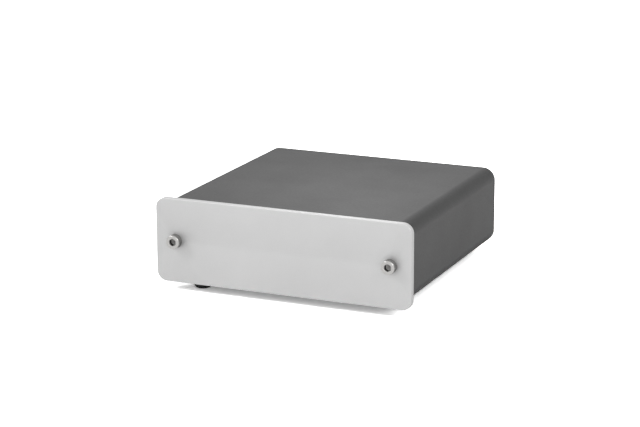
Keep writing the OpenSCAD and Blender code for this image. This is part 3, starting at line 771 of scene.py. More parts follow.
# Potted polyester box: yellow, semi-gloss.
BOX_YELLOW = replace(BOX_RED, name="polyester_box_yellow", tone="#D2B03A", shade="#C6A432")
# Dipped phenolic coat on a ceramic disc: ochre, waxy and uneven.
DIPPED_OCHRE = Finish("ceramic_dipped_ochre", "#C98A3B", "#B67A30", (0.35, 0.50), 0.60, 0.030, 1.5)
# Lacquered metal film resistor: pale blue.
LACQUER_BLUE = Finish("lacquer_pale_blue", "#86AFC9", "#78A2BE", (0.25, 0.35), 0.50, 0.008, 1.5)
# Extruded PVC insulation: green.
WIRE_GREEN = Finish("pvc_wire_green", "#2E8B45", "#27793B", (0.35, 0.45), 0.50, 0.004, 3, ior=1.54)
# Enamelled copper wire, wound in 0.3 mm turns.
COPPER_WINDING = Finish("copper_enamelled", "#A8562B", "#8E4522", (0.25, 0.38), 0.30, 0.080, 2, coat=0.5,
                        texture=Texture.WOUND)
# Moulded jumper cap: blue.
JUMPER_BLUE = Finish("pbt_moulded_blue", "#1F4C8F", "#1A427E", (0.35, 0.48), 0.20, 0.004, 2)
# Screen printed two-part ink: white, matt and thin.
WHITE_INK = Finish("ink_screen_printed_white", "#D9D9D7", "#CFCFCD", (0.50, 0.62), 0.15, 0.002, 2)


def dress(finish: Finish, *nodes: str) -> None:
    """Gives CAD nodes whose shape is right a finish.

    Args:
        finish: The finish.
        nodes: The nodes.
    """
    for node in nodes:
        mesh = frame["nodes"][node].data
        mesh.materials.clear()
        mesh.materials.append(finish.material())
        LOG.info("%s keeps its CAD shape, in %s", node, finish.name)


# Sub-assemblies


@dataclass(frozen=True)
class Thread:
    """A metric thread.

    Attributes:
        radius: Radius of its crests.
        pitch: Distance from one turn to the next.
        steps: Points round the axis.
        rings: Rings in each turn.
        depth: Depth of the groove, as a share of the pitch.
        groove_shade: Painted shade at the bottom of the groove.
    """

    radius: float
    pitch: float
    steps: int = 40
    rings: int = 8
    depth: float = 0.54
    groove_shade: float = 0.7

    def add_to(self, surface: Surface, start: float, end: float, centre: Pair) -> None:
        """Adds a threaded rod along Y, closed at both ends.

        The radius falls from the crest in a V that winds round the rod: the V's phase is the place along the
        rod over the pitch, less the share of the turn. The V is taken 1.25 times, less 0.12, and cut off at
        0 and 1, which leaves flats on the crests and in the roots. The free end tapers over one pitch.

        Args:
            surface: The piece's surface.
            start: The end nearer the head.
            end: The free end.
            centre: The axis in X and Z.
        """
        turn = even_turn(self.steps)
        sign = 1 if end > start else -1
        along = np.arange(start, end, sign * self.pitch / self.rings)[:, None]
        phase = (np.abs(along - start) / self.pitch - turn / TAU) % 1
        share = np.clip(1.25 * np.abs(2 * phase - 1) - 0.12, 0, 1)
        taper = np.minimum(np.abs(end - along), self.pitch) - self.pitch
        radius = self.radius + np.minimum(-self.depth * self.pitch * share, taper)
        closed = np.pad(radius, ((1, 2), (0, 0)))
        closed[-2] = self.radius - self.pitch
        places = np.concatenate([along[:1], along, [[end]], [[end]]])
        # The grooves get painted shade, strongest at their bottoms.
        surface.add_turned(zip(places, closed, self.groove_shade * np.pad(share, ((1, 2), (0, 0)))), turn, centre)


@dataclass
class FrontPanel:
    """The aluminium front panel and the two socket cap screws that hold it.

    Attributes:
        plate, screws: The room of the plate and of both screws.
        corner: Radius of the plate's corners.
        hole: Radius of its holes.
        edge: Radii of its edges at the face and at the back.
        head, rim: Radius of a screw's head and of its rounded rim.
        socket: Width across flats and depth of the hexagon socket.
        drill: Depth of the cone that the drill leaves under the socket.
        floor: Size of the socket's floor at the cone and at the walls, as shares of the hexagon's.
        mouth: Depth and radius of the socket's flared mouth.
        close: How close a ring on the face lies to the mouth and to the rim.
        knurls, groove: Number of knurls round a head, and the depth between them.
        band: Distances of the knurled band from the head's face and from its seat.
        ramp: Length along Y in which the knurls rise at the band's two ends.
        chamfer: Chamfer round the seat.
        thread: A screw's thread.
    """

    plate: Room = Room.of("front_panel")
    screws: Room = Room.of("front_panel_screws")
    corner: float = 4
    hole: float = 1.7
    edge: Pair = (0.25, 0.2)
    head: float = 2.75
    rim: float = 0.3
    socket: Pair = (2.5, 1.6)
    drill: float = 0.55
    floor: Pair = (0.95, 0.97)
    mouth: Pair = (0.16, 1.56)
    close: Pair = (0.06, 0.05)
    knurls: int = 40
    groove: float = 0.07
    band: Pair = (0.45, 0.36)
    ramp: float = 0.06
    chamfer: float = 0.1
    thread: Thread = Thread(1.45, 0.5)

    def build(self) -> None:
        """Builds the plate and the screws."""
        centres = [(side * (self.screws.high[0] - self.head), self.plate.centre[1]) for side in (-1, 1)]
        holes = [circle(self.hole, centre, steps=48) for centre in centres]
        plate = Surface()
        plate.add_plate(self.plate.outline(self.corner), holes, *self.plate.span, self.edge)
        plate.piece("front_plate", ANODISED, Body.CASE, ["front_panel"])
        screws = Surface()
        for centre in centres:
            self.add_screw(screws, centre)
        screws.piece("front_cap_screws", NICKELLED_STEEL, Body.CASE, ["front_panel_screws"])
        dress(MILLED, "front_anchor_blocks")
        dress(TINNED, "anchor_block_screws")

    def add_screw(self, surface: Surface, centre: Pair) -> None:
        """Adds a socket cap screw: rings from the socket's bottom, over the face and the rim, to the seat.

        Each knurl has six angles. The knurl takes its depth in a V from the head's radius. A ring's last
        value is its painted shade: dark on the knurled side, in the grooves, at the seat and on the socket's
        walls, paler on the socket's floor.

        Args:
            surface: The surface of both screws.
            centre: The screw's axis in X and Z.
        """
        (face, tip), seat, radius = self.screws.span, self.plate.low[1], self.head
        turn = even_turn(self.knurls * 6)
        (flats, depth), (flare, mouth) = self.socket, self.mouth
        hexagon = hexagon_reach(turn, flats)
        wave = teeth(turn, self.knurls)
        knurled = radius - self.groove * wave
        height = seat - face
        start, end = self.band[0], height - self.band[1]
        rim = rounded_line([(0, 0), (0, radius), (height, radius)], [0, self.rim, 0], steps=6)[1:-1]
        # The socket, from the tip of the drill's cone to the flared mouth, with painted shade on its walls
        # and floor.
        rings = [(depth + self.drill, 0, 0.6), (depth, self.floor[0] * hexagon, 0.4),
                 (depth, self.floor[1] * hexagon, 0.95), (0.5, hexagon, 0.95), (flare, hexagon, 0.8),
                 (0, mouth, 0)]
        # The face, with a ring close to each of its edges, and the rounded rim.
        rings += [(0, mouth + self.close[0], 0), (0, rim[0, 1] - self.close[1], 0)]
        rings += [(along, reach, 0) for along, reach in rim]
        # The knurled band and the seat, in painted shade that is darkest in the grooves and at the seat.
        rings += [(start, radius, 0.3), (start + self.ramp, knurled, 0.25 + 0.6 * wave),
                  (end - self.ramp, knurled, 0.35 + 0.55 * wave), (end, radius, 0.5),
                  (height - self.chamfer, radius, 0.6), (height, radius - self.chamfer, 1), (height, 0, 1)]
        surface.add_turned(rings, turn, centre, face)
        self.thread.add_to(surface, seat - BURIED, tip, centre)


@dataclass
class Sleeve:
    """The folded steel sleeve with the butt seam under it, and the film on its floor.

    Attributes:
        room: The room that the sleeve takes.
        wall: Thickness of the sheet.
        corner: Outside radius of the four folds.
        seam: Open width of the seam.
        edge: Radius of the cut edges.
        fold_shade: How much painted shade the middle of a fold gets, from 0 to 1.
    """

    room: Room = Room.of("case_sleeve")
    wall: float = 1.2
    corner: float = 5
    seam: float = 0.3
    edge: float = 0.2
    fold_shade: float = 0.4

    def build(self) -> None:
        """Builds the sleeve: the sheet's section, length by thickness, carried round the folded outline.

        The outline starts at the seam, in the middle of the underside. The painted shade along the folds is
        the sine of twice the angle that the fold has turned.
        """
        steps = 20
        outline = self.room.outline(self.corner, steps)
        # Three corners of the outline, each with its two extra points, come before the underside.
        start = 3 * (steps + 3)
        _, front, low = self.room.low
        length = self.room.size[1]
        path = np.concatenate([[[self.seam / 2, low]], np.roll(outline.points, -start, 0),
                               [[-self.seam / 2, low]]])
        out = np.concatenate([[[0, -1]], np.roll(outline.normals, -start, 0), [[0, -1]]])
        sheet = rounded_rect(length, self.wall, self.edge, (front + length / 2, self.wall / 2), steps=3,
                             support=0.3).points
        points = stood_up(path[None] - out[None] * sheet[:, None, 1:2], sheet[:, :1])
        skin = Surface()
        # Painted shade along the folds, strongest in the middle of each.
        skin.add_grid(points, wrap_rows=True, depth=self.fold_shade * np.abs(2 * out[:, 0] * out[:, 1]))
        for end in (0, -1):
            skin.add_faces(points[:, end], [list(range(len(sheet)))], sheet, False)
        skin.piece("case_sleeve_skin", POWDER_COAT, Body.CASE, ["case_sleeve"])
        dress(POLYESTER_FILM, "insulating_sheet")


@dataclass
class Feet:
    """Four moulded rubber feet on their adhesive pads.

    Attributes:
        height: Height of the rubber.
        flat: Radius of the flat that a foot stands on.
        toe: How far the rounded edge of the flat stands out.
        belly: Height of the belly over the flat, and how far it lies inside the top.
        rim: Height of the rim at the pad, and how far it stands out.
        top: Radius at the pad.
        rounds: Radii of the profile's corners, from the middle of the flat to the pad.
        steps: Points round a foot.
    """

    height: float = Room.of("rubber_feet").high[2]
    flat: float = 2.5
    toe: float = 0.4
    belly: Pair = (0.9, 0.45)
    rim: Pair = (0.5, 0.1)
    top: float = 4
    rounds: tuple[float, ...] = (0, 0.5, 1.5, 0.5, 0.2, 0)
    steps: int = 64

    def build(self) -> None:
        """Builds the feet: a rounded profile carried round each foot's upright axis."""
        (swell, inward), (lip, flare) = self.belly, self.rim
        profile = rounded_line([(0, 0), (0, self.flat + self.toe), (swell, self.top - inward),
                                (self.height - lip, self.top - flare), (self.height, self.top),
                                (self.height, 0)], self.rounds, steps=6)
        rubber = Surface()
        turn = even_turn(self.steps)
        for row in ("front", "rear"):
            for side in ("left", "right"):
                rubber.add_turned(profile, turn, MOUNTS[f"foot_{row}_{side}"][:2], axis=Axis.Z)
        rubber.piece("moulded_feet", RUBBER, Body.CASE, ["rubber_feet"])
        dress(FOAM_TAPE, "foot_adhesive_pads")


@dataclass
class RearPanel:
    """The rear panel, its two black screws and its printed marks.

    Attributes:
        corner: Radius of the plate's corners.
        edge: Radii of its edges at the inner and at the outer face.
        collar_hole, screw_hole, stud_hole, power_hole: Radii of its round holes.
        slot: Width and height of the switch's slot, and the radius of its corners.
        screws: The axes of the two screws in X and Z, each between the two sockets of a pair.
        switch: The switch's middle in X and Z.
        power, ground: The power socket and the ground post in X and Z.
        pan: Radius and height of a pan head.
        flat: Radius of the last ring on the head's flat, and the radius past which the dome's rings follow.
        crown: Size of the dome's slope across the axis and along it.
        crown_rounds: Radii of the slope's edges at the flat and at the head's side.
        recess: Length and width of the cross recess's arms, and the recess's depth at its walls.
        bottom: How far the recess's bottom is pointed, and its size as a share of the mouth's.
        lip: Size of the mouth's broken edge along the axis and across it.
        shank: Length of a screw's shank.
        thread: A screw's thread.
        ink: How far the ink's two faces stand out of the plate.
        stroke: Width of the thin lines of the printed signs.
        over_pair, over_socket, over_switch: Height above the table and size of the words over these.
        ends: Places of the switch's two words along X, from its middle.
        nib: Corner radius of the signs' bars.
        earth: The ground sign's bars: height above the table, size along X and size along Z.
        polarity: Height of the polarity sign, mean radius of its ring and radius of its dot.
        leads: The polarity sign's bars: place along X from its middle, size along X and size along Z.
    """

    corner: float = 5
    edge: Pair = (0.15, 0.25)
    collar_hole: float = 4.85
    screw_hole: float = 1.7
    stud_hole: float = 2.2
    power_hole: float = 4.05
    slot: Triple = (6.8, 3.6, 0.3)
    screws: tuple[Pair, ...] = tuple(((right[0] + left[0]) / 2, left[1]) for right, left in (OUTPUTS, INPUTS))
    switch: Pair = Room.of("switch_frame").centre
    power: Pair = axis_of("power_socket_pin")
    ground: Pair = axis_of("ground_terminal")
    pan: Pair = (2.7, 1.8)
    flat: Pair = (1.62, 1.7)
    crown: Pair = (0.6, 0.9)
    crown_rounds: Pair = (1.6, 0.4)
    recess: Triple = (2.8, 0.56, 0.95)
    bottom: Pair = (0.15, 0.7)
    lip: Pair = (0.08, 0.05)
    shank: float = 8
    thread: Thread = Thread(1.45, 0.5, 32)
    ink: Pair = (-0.01, 0.03)
    stroke: float = 0.25
    over_pair: Pair = (29.4, 2.8)
    over_socket: Pair = (25.6, 2.4)
    over_switch: Pair = (18.2, 1.9)
    ends: Pair = (-2.2, 2.4)
    nib: float = 0.08
    earth: tuple[Triple, ...] = ((27.2, 2.6, 0.28), (26.4, 1.6, 0.28), (25.6, 0.7, 0.28), (28.2, 0.28, 1.8))
    polarity: Triple = (25.4, 1.15, 0.4)
    leads: tuple[Triple, ...] = ((-3.3, 1.1, stroke), (3.3, 1.1, stroke), (-3.3, stroke, 1.1),
                                 (1.9, 1.0, stroke), (-1.3, 1.8, stroke))

    def build(self) -> None:
        """Builds the plate, the screws and the marks."""
        holes = [circle(self.collar_hole, axis) for axis in OUTPUTS + INPUTS]
        holes += [circle(self.screw_hole, axis, steps=32) for axis in self.screws]
        holes += [circle(self.stud_hole, self.ground, steps=40), circle(self.power_hole, self.power),
                  rounded_rect(*self.slot, self.switch, steps=3, support=0.1)]
        plate = Surface()
        plate.add_plate(REAR.outline(self.corner), holes, *REAR.span, self.edge, steps=3)
        plate.piece("rear_plate", POWDER_COAT_REAR, Body.CASE, ["rear_panel"])
        screws = Surface()
        for axis in self.screws:
            self.add_screw(screws, axis)
        screws.piece("rear_pan_screws", BLACK_ZINC, Body.CASE, ["socket_block_screws"])
        self.print_marks()

    def add_screw(self, surface: Surface, centre: Pair) -> None:
        """Adds a pan head screw: rings from the cross recess's bottom, over the dome, to the seat.

        The angles are spaced so that they meet the edges of the cross's arms.

        Args:
            surface: The surface of both screws.
            centre: The screw's axis in X and Z.
        """
        (radius, height), (long, wide, deep) = self.pan, self.recess
        edge = math.atan2(wide, long)
        quarter = np.sort(np.concatenate([np.linspace(edge, TAU / 4 - edge, 15), [-edge / 2, 0, edge / 2]]))
        turn = (quarter[None] + np.arange(4)[:, None] * TAU / 4).ravel()
        cross = cross_reach(turn, long, wide)
        across, down = self.crown
        dome = rounded_line([(height, 0), (height, radius - across), (height - down, radius), (0, radius)],
                            [0, *self.crown_rounds, 0], steps=6)[1:]
        # The recess, in painted shade, whose walls lean in towards a pointed bottom, then the flat of the
        # head.
        (point, share), (fall, widen) = self.bottom, self.lip
        rings = [(height - deep - point, 0, 1), (height - deep, share * cross, 1), (height - fall, cross, 1),
                 (height, cross + widen, 0), (height, self.flat[0], 0)]
        rings += [(along, reach, 0) for along, reach in dome if reach > self.flat[1]]
        surface.add_turned(rings + [(0, 0, 0)], turn, centre, OUTER)
        self.thread.add_to(surface, OUTER + BURIED, OUTER - self.shank, centre)

    def print_marks(self) -> None:
        """Prints plain words over the sockets and the switch, and the signs for ground and polarity."""
        marks = Surface()
        words = [(word, x, self.over_pair) for word, (x, _) in zip(("OUT", "IN"), self.screws)]
        words += [(word, x, self.over_socket) for word, (x, _) in zip("RLRL", OUTPUTS + INPUTS)]
        words += [(word, self.switch[0] + x, self.over_switch) for word, x in zip(("MM", "MC"), self.ends)]
        for word, x, (height, size) in words:
            self.add_text(marks, word, x, height, size)
        ground, power, level = self.ground[0], self.power[0], self.polarity[0]
        bars = [(ground, *bar) for bar in self.earth]
        bars += [(power + x, level, *size) for x, *size in self.leads]
        for x, z, width, height in bars:
            bar = rounded_rect(width, height, self.nib, (x, z), steps=2, support=0.02)
            self.add_print(marks, bar.points)
        self.add_ring(marks, (power, level), *self.polarity[1:])
        marks.piece("rear_marks", WHITE_INK, Body.CASE)

    def add_ring(self, surface: Surface, centre: Pair, radius: float, dot: float) -> None:
        """Adds three quarters of a printed ring and the dot in its middle.

        The ring is a line between two arcs, from one eighth to seven eighths of a turn.

        Args:
            surface: The surface of all the marks.
            centre: The ring's centre in X and Z.
            radius: Its mean radius.
            dot: The dot's radius.
        """
        turn = np.linspace(TAU / 8, TAU * 7 / 8, 25)
        arc = np.stack([np.cos(turn), np.sin(turn)], 1)
        ring = np.concatenate([arc * (radius + self.stroke / 2), arc[::-1] * (radius - self.stroke / 2)])
        self.add_print(surface, np.array(centre) + ring)
        self.add_print(surface, circle(dot, centre, steps=16).points)

    def add_print(self, surface: Surface, outline: np.ndarray) -> None:
        """Adds a flat printed shape on the plate's outer face.

        Args:
            surface: The surface of all the marks.
            outline: Its outline in X and Z.
        """
        levels = OUTER + np.array(self.ink)
        flat = np.broadcast_to(outline[None], (2, *outline.shape))
        surface.add_grid(stood_up(flat, levels[:, None]), wrap_columns=True, smooth=False)
        for level in levels:
            surface.add_cap([outline], level)

    def add_text(self, surface: Surface, text: str, x: float, z: float, size: float) -> None:
        """Adds printed letters, read from behind: a text is made a mesh and laid on the plate's outer face.

        Args:
            surface: The surface of all the marks.
            text: The letters.
            x: The middle of the word along X.
            z: The letters' middle height.
            size: Size of the letters.
        """
        curve = bpy.data.curves.new(text, "FONT")
        curve.body, curve.size, curve.extrude = text, size, (self.ink[1] - self.ink[0]) / 2
        curve.align_x, curve.align_y = "CENTER", "CENTER"
        holder = bpy.data.objects.new(text, curve)
        made = holder.to_mesh()
        flat = np.empty((len(made.vertices), 3))
        made.vertices.foreach_get("co", flat.ravel())
        level = OUTER + sum(self.ink) / 2
        laid = np.stack([x - flat[:, 0], level + flat[:, 2], z + flat[:, 1]], 1)
        for face in made.polygons:
            corners = laid[list(face.vertices)]
            surface.add_faces(corners, [list(range(len(corners)))], corners[:, [0, 2]], False)
        holder.to_mesh_clear()
        bpy.data.objects.remove(holder)
        bpy.data.curves.remove(curve)


@dataclass
class SignalSockets:
    """The two pairs of phono sockets: blocks, shells, insulators, centre contacts and solder tabs.

    Attributes:
        shells, insulators, contacts: The room of these pieces, whose ends along Y all sockets share.
        collar: Front of the plastic collars along Y.
        shell: Outer radius, root radius and bore radius of a shell.
        lip: Radius of its rolled lip.
        insulator: Outer radius, bore radius and funnel depth of an insulator.
        rounds: Radii of an insulator's front edge and of its funnel's two edges.
        contact: Outer radius, bore radius and chamfer length of a centre contact.
        slit: Depth of the four slits in a contact's inner wall, half their angle, and where they start.
        steps: Points round a shell or an insulator, and round a contact.
    """

    shells: Room = Room.of("input_socket_shells")
    insulators: Room = Room.of("left_socket_insulators")
    contacts: Room = Room.of("socket_centre_contacts")
    collar: float = Room.of("input_socket_block").high[1]
    shell: Triple = (4.15, 3.95, 3.55)
    lip: float = 0.28
    insulator: Triple = (3.5, 2.05, 0.45)
    rounds: Pair = (0.25, 0.15)
    contact: Triple = (2.0, 1.6, 0.3)
    slit: Triple = (0.2, 0.07, 4)
    steps: tuple[int, int] = (72, 96)

    def build(self) -> None:
        """Builds both pairs."""
        turn = even_turn(self.steps[0])
        for name, pair in (("input", INPUTS), ("output", OUTPUTS)):
            soften(f"{name}_socket_block", f"{name}_block_moulding", BLACK_PBT, 0.15)
            shells = Surface()
            for axis in pair:
                shells.add_turned(self.shell_profile(), turn, axis, closed=True)
            shells.piece(f"{name}_shell_rings", GOLD_FLASHED, Body.CASE, [f"{name}_socket_shells"])
        for side, finish, number in (("right", RED_ABS, 0), ("left", WHITE_ABS, 1)):
            rings = Surface()
            for pair in (INPUTS, OUTPUTS):
                rings.add_turned(self.insulator_profile(), turn, pair[number], closed=True)
            rings.piece(f"{side}_insulator_rings", finish, Body.CASE, [f"{side}_socket_insulators"])
        contacts = Surface()
        for axis in INPUTS + OUTPUTS:
            self.add_contact(contacts, axis)
        contacts.piece("centre_contact_tubes", GOLD_FLASHED, Body.CASE, ["socket_centre_contacts"])
        dress(TINNED, "socket_solder_tabs")

    def shell_profile(self) -> np.ndarray:
        """Works out a shell's section: a root in the block, a step at the collar and a rolled lip.

        Returns:
            Rows of a place along Y and a radius.
        """
        (start, mouth), (out, root, bore) = self.shells.span, self.shell
        return rounded_section([(start, (root + bore) / 2), (start, root), (self.collar, root),
                                (self.collar, out), (mouth, out), (mouth, bore), (start, bore)],
                               [0, BROKEN, 0, BROKEN, self.lip, self.lip, BROKEN], steps=5)

    def insulator_profile(self) -> np.ndarray:
        """Works out an insulator's section: a tube whose bore opens in a funnel for the plug's pin.

        Returns:
            Rows of a place along Y and a radius.
        """
        (start, mouth), (out, bore, funnel) = self.insulators.span, self.insulator
        front, inner = self.rounds
        return rounded_section([(start, (out + bore) / 2), (start, out), (mouth, out), (mouth, bore + funnel),
                                (mouth - funnel, bore), (start, bore)],
                               [0, BROKEN, front, inner, inner, BROKEN])

    def add_contact(self, surface: Surface, centre: Pair) -> None:
        """Adds a centre contact: a tube with a chamfered mouth and four slits.

        A slit is a groove in the inner wall, where the turn is near a quarter.

        Args:
            surface: The surface of all four.
            centre: The socket's axis in X and Z.
        """
        (start, mouth), (out, bore, chamfer) = self.contacts.span, self.contact
        turn = even_turn(self.steps[1])
        slit = np.where(np.abs(off_middle(turn, TAU / 4)) < self.slit[1], self.slit[0], 0)
        profile = rounded_section([(start, (out + bore) / 2), (start, out), (mouth, out),
                                   (mouth, bore + chamfer / 2), (mouth - chamfer, bore), (start, bore)],
                                  [0, BROKEN / 2, BROKEN, 0, 0, BROKEN / 2], steps=3)
        slotted = (profile[:, 1] < out - self.slit[0]) & (profile[:, 0] > start + self.slit[2])
        radius = profile[:, 1:] + slotted[:, None] * slit
        surface.add_turned(zip(profile[:, 0], radius), turn, centre, closed=True)


@dataclass
class GroundTerminal:
    """The ground post: threaded stud with its collar, loose washer and knurled thumb nut.

    Attributes:
        centre: The post's axis in X and Z.
        stud, washer, nut: The room of the three pieces.
        thread: The stud's thread.
        collar: Radius and thickness of its collar, and the radius of the collar's outer edge.
        washer_edges: Radii of the washer's edges at its bore and at its outside.
        washer_bore, nut_bore: Radii of the bores.
        bevels: Chamfers of the nut's bore at the washer and in the dish.
        wheel: Outer radius of the nut.
        grooves, groove: Number of grooves round the nut, and their depth.
        grip: Distances of the grooves from the neck and from the nut's end.
        near_chamfer: Points of the wheel's chamfer at the neck: distance from it, and from the outer radius.
        far_chamfer: Points of the one at the nut's end: distance from it, and from the outer radius.
        neck: Radius and length of its plain neck.
        dish: Depth of its dished end, and the radius that the dish reaches.
        steps: Points round the collar and the washer.
    """

    centre: Pair = axis_of("ground_terminal")
    stud: Room = Room.of("ground_stud")
    washer: Room = Room.of("ground_washer")
    nut: Room = Room.of("ground_thumb_nut")
    thread: Thread = Thread(2, 0.7)
    collar: Triple = (4, 1.2, 0.25)
    washer_edges: Pair = (0.12, 0.2)
    washer_bore: float = 2.15
    nut_bore: float = 2.05
    bevels: Pair = (0.3, 0.4)
    wheel: float = 4.8
    grooves: int = 30
    groove: float = 0.32
    grip: Pair = (0.4, 0.5)
    near_chamfer: tuple[Pair, ...] = ((0, 0.45), (0.12, 0.4))
    far_chamfer: tuple[Pair, ...] = ((0.14, 0.42), (0, 0.6))
    neck: Pair = (4.0, 1.1)
    dish: Pair = (0.15, 3.25)
    steps: int = 96

    def build(self) -> None:
        """Builds the stud, the washer and the nut."""
        turn, (radius, thick, edge) = even_turn(self.steps), self.collar
        collar = rounded_line([(0, 0), (0, radius), (thick, radius), (thick, 0)], [0, BROKEN, edge, 0], 4)
        post = Surface()
        post.add_turned(collar, turn, self.centre, OUTER)
        for end in reversed(self.stud.span):
            self.thread.add_to(post, OUTER + BURIED, end, self.centre)
        post.piece("ground_post", GOLD_FLASHED, Body.CASE, ["ground_stud"])
        (start, end), out, bore = self.washer.span, self.washer.size[0] / 2, self.washer_bore
        inner, outer = self.washer_edges
        section = rounded_section([((start + end) / 2, bore), (start, bore), (start, out), (end, out),
                                   (end, bore)], [0, inner, outer, outer, inner])
        disc = Surface()
        disc.add_turned(section, turn, self.centre, closed=True)
        disc.piece("ground_flat_washer", NICKELLED_STEEL, Body.WASHER, ["ground_washer"])
        self.build_nut()
        dress(TINNED, "ground_lock_nut", "ground_solder_tag")
        dress(WIRE_GREEN, "ground_wire")

    def build_nut(self) -> None:
        """Builds the thumb nut: rings with straight knurls, a plain neck and chamfered ends.

        Each groove has eight angles. It takes its depth from the outer radius in a V to the power of 1.5,
        which leaves its crests wider. A ring's last value is its painted shade, in the grooves, at the neck
        and in the bore.
        """
        bore, out, length = self.nut_bore, self.wheel, self.nut.size[1]
        turn = even_turn(self.grooves * 8)
        wave = teeth(turn, self.grooves) ** 1.5
        knurled = out - self.groove * wave
        (plain, neck), (dish, rim), (near, far) = self.neck, self.dish, self.bevels
        # The neck, whose end meets the washer.
        rings = [(0, bore + near, 0.6), (0, plain - BROKEN, 0.4), (BROKEN, plain, 0.3),
                 (neck - BROKEN, plain, 0.3), (neck, plain + BROKEN, 0.5)]
        # The knurled wheel, between its two chamfers.
        rings += [(neck + along, out - inward, 0) for along, inward in self.near_chamfer]
        rings += [(place, knurled, 0.8 * wave) for place in (neck + self.grip[0], length - self.grip[1])]
        rings += [(length - along, out - inward, 0) for along, inward in self.far_chamfer]
        # The dished end and the bore.
        rings += [(length, rim + dish, 0), (length - dish, rim, 0.4), (length - dish, bore + far, 0.3),
                  (length - dish - far, bore, 0.2), (near, bore, 0.6)]
        wheel = Surface()
        wheel.add_turned(rings, turn, self.centre, self.nut.low[1], closed=True)
        wheel.piece("ground_thumb_wheel", GOLD_FLASHED, Body.NUT, ["ground_thumb_nut"], sharp=25)


@dataclass
class PowerSocket:
    """The low voltage inlet.

    Attributes:
        centre: The socket's axis in X and Z.
        pin: The room of its pin.
        root: Radius and length of the pin's root.
        radius: Radius of the pin.
        tip: Radius of its round tip.
        steps: Points round the pin.
    """

    centre: Pair = axis_of("power_socket_pin")
    pin: Room = Room.of("power_socket_pin")
    root: Pair = (1.3, 2)
    radius: float = 1.0
    tip: float = 0.55
    steps: int = 40

    def build(self) -> None:
        """Builds the housing and the pin: a stepped profile with a round tip, carried round the axis."""
        soften("power_socket_housing", "power_socket_moulding", BLACK_PBT, 0.12)
        (start, end), (thick, length) = self.pin.span, self.root
        profile = rounded_line([(start, 0), (start, thick), (start + length, thick),
                                (start + length, self.radius), (end, self.radius), (end, 0)],
                               [0, BROKEN, BROKEN, 0, self.tip, 0], steps=6)
        pin = Surface()
        pin.add_turned(profile, even_turn(self.steps), self.centre)
        pin.piece("power_socket_post", NICKELLED_STEEL, Body.CASE, ["power_socket_pin"])
        dress(GOLD_STAMPED, "power_socket_spring")
        dress(TINNED, "power_socket_tabs")


@dataclass
class ModeSwitch:
    """The slide switch that matches the input to the cartridge.

    Attributes:
        room: The room that the lever takes with the carriage that holds it in the frame.
        lever: Width and height of the lever.
        corner: Radius of its four long edges.
        carriage: Thickness of the carriage, and radius of its corners.
        root: How deep the lever starts in the carriage.
        held: How far from the tip and from the root lie the rings that keep the sides flat.
        ridge: Half height and spacing of the ridges on the lever's end.
        dome: How far the end falls at its sides.
        columns, rows: Points from the end's middle to its round edge, and up its whole height.
    """

    room: Room = Room.of("mode_switch_lever")
    lever: Pair = (3.2, 3.0)
    corner: float = 0.35
    carriage: Pair = (1.4, 0.3)
    root: float = 0.7
    held: Pair = (0.7, 0.05)
    ridge: Pair = (0.16, 0.8)
    dome: float = 0.3
    columns: int = 41
    rows: int = 9

    def build(self) -> None:
        """Builds the lever, and dresses the frame round it.

        The end is a grid: places along X, by shares of the half height there, which the round corners lower.
        Its border is carried back along Y to the root.
        """
        knob = Surface()
        half, tall, corner = self.lever[0] / 2, self.lever[1] / 2, self.corner
        (near, tip), (middle, level) = self.room.span, self.room.centre
        swing = np.sin(np.linspace(0, TAU / 4, 6)[1:])
        reach = np.concatenate([np.linspace(0, half - corner, self.columns), half - corner + corner * swing])
        x = np.concatenate([-reach[:0:-1], reach])
        past = np.maximum(np.abs(x) - half + corner, 0)
        rise = tall - corner + np.sqrt(np.maximum(corner ** 2 - past ** 2, 0))
        share = np.linspace(-1, 1, self.rows)[:, None]
        end = np.stack(np.broadcast_arrays(x + middle, tip - self.fall(x), level + share * rise), -1)
        knob.add_grid(end)
        border = np.concatenate([end[0, :-1], end[:-1, -1], end[-1, :0:-1], end[:0:-1, 0]])
        start = near + self.root
        sides = np.stack([border] * 4)
        sides[1:, :, 1] = np.array([tip - self.held[0], start + self.held[1], start])[:, None]
        knob.add_grid(sides, wrap_columns=True)
        knob.add_cap([border[:, [0, 2]]], start)
        (wide, _, high), (thick, round_corner) = self.room.size, self.carriage
        plate = rounded_rect(wide, high, round_corner, self.room.centre, steps=4, support=0.1)
        knob.add_plate(plate, [], near, near + thick, (BROKEN, BROKEN), steps=2)
        knob.piece("mode_lever_knob", BLACK_NYLON, Body.LEVER, ["mode_switch_lever"], sharp=30)
        soften("switch_frame", "switch_frame_shell", TINNED, 0.08)
        dress(PHENOLIC, "switch_base")
        dress(TINNED, "switch_terminals")

    def fall(self, x: np.ndarray) -> np.ndarray:
        """Works out how far the lever's end lies behind its tip, at places across it.

        Args:
            x: Places along X from the lever's middle.

        Returns:
            The ridge's half height times 1 plus cosine of the phase, plus the dome's fall, which grows with
            the fourth power of the distance from the middle.
        """
        height, pitch = self.ridge
        return height * (1 + np.cos(TAU * x / pitch)) + self.dome * (2 * x / self.lever[0]) ** 4


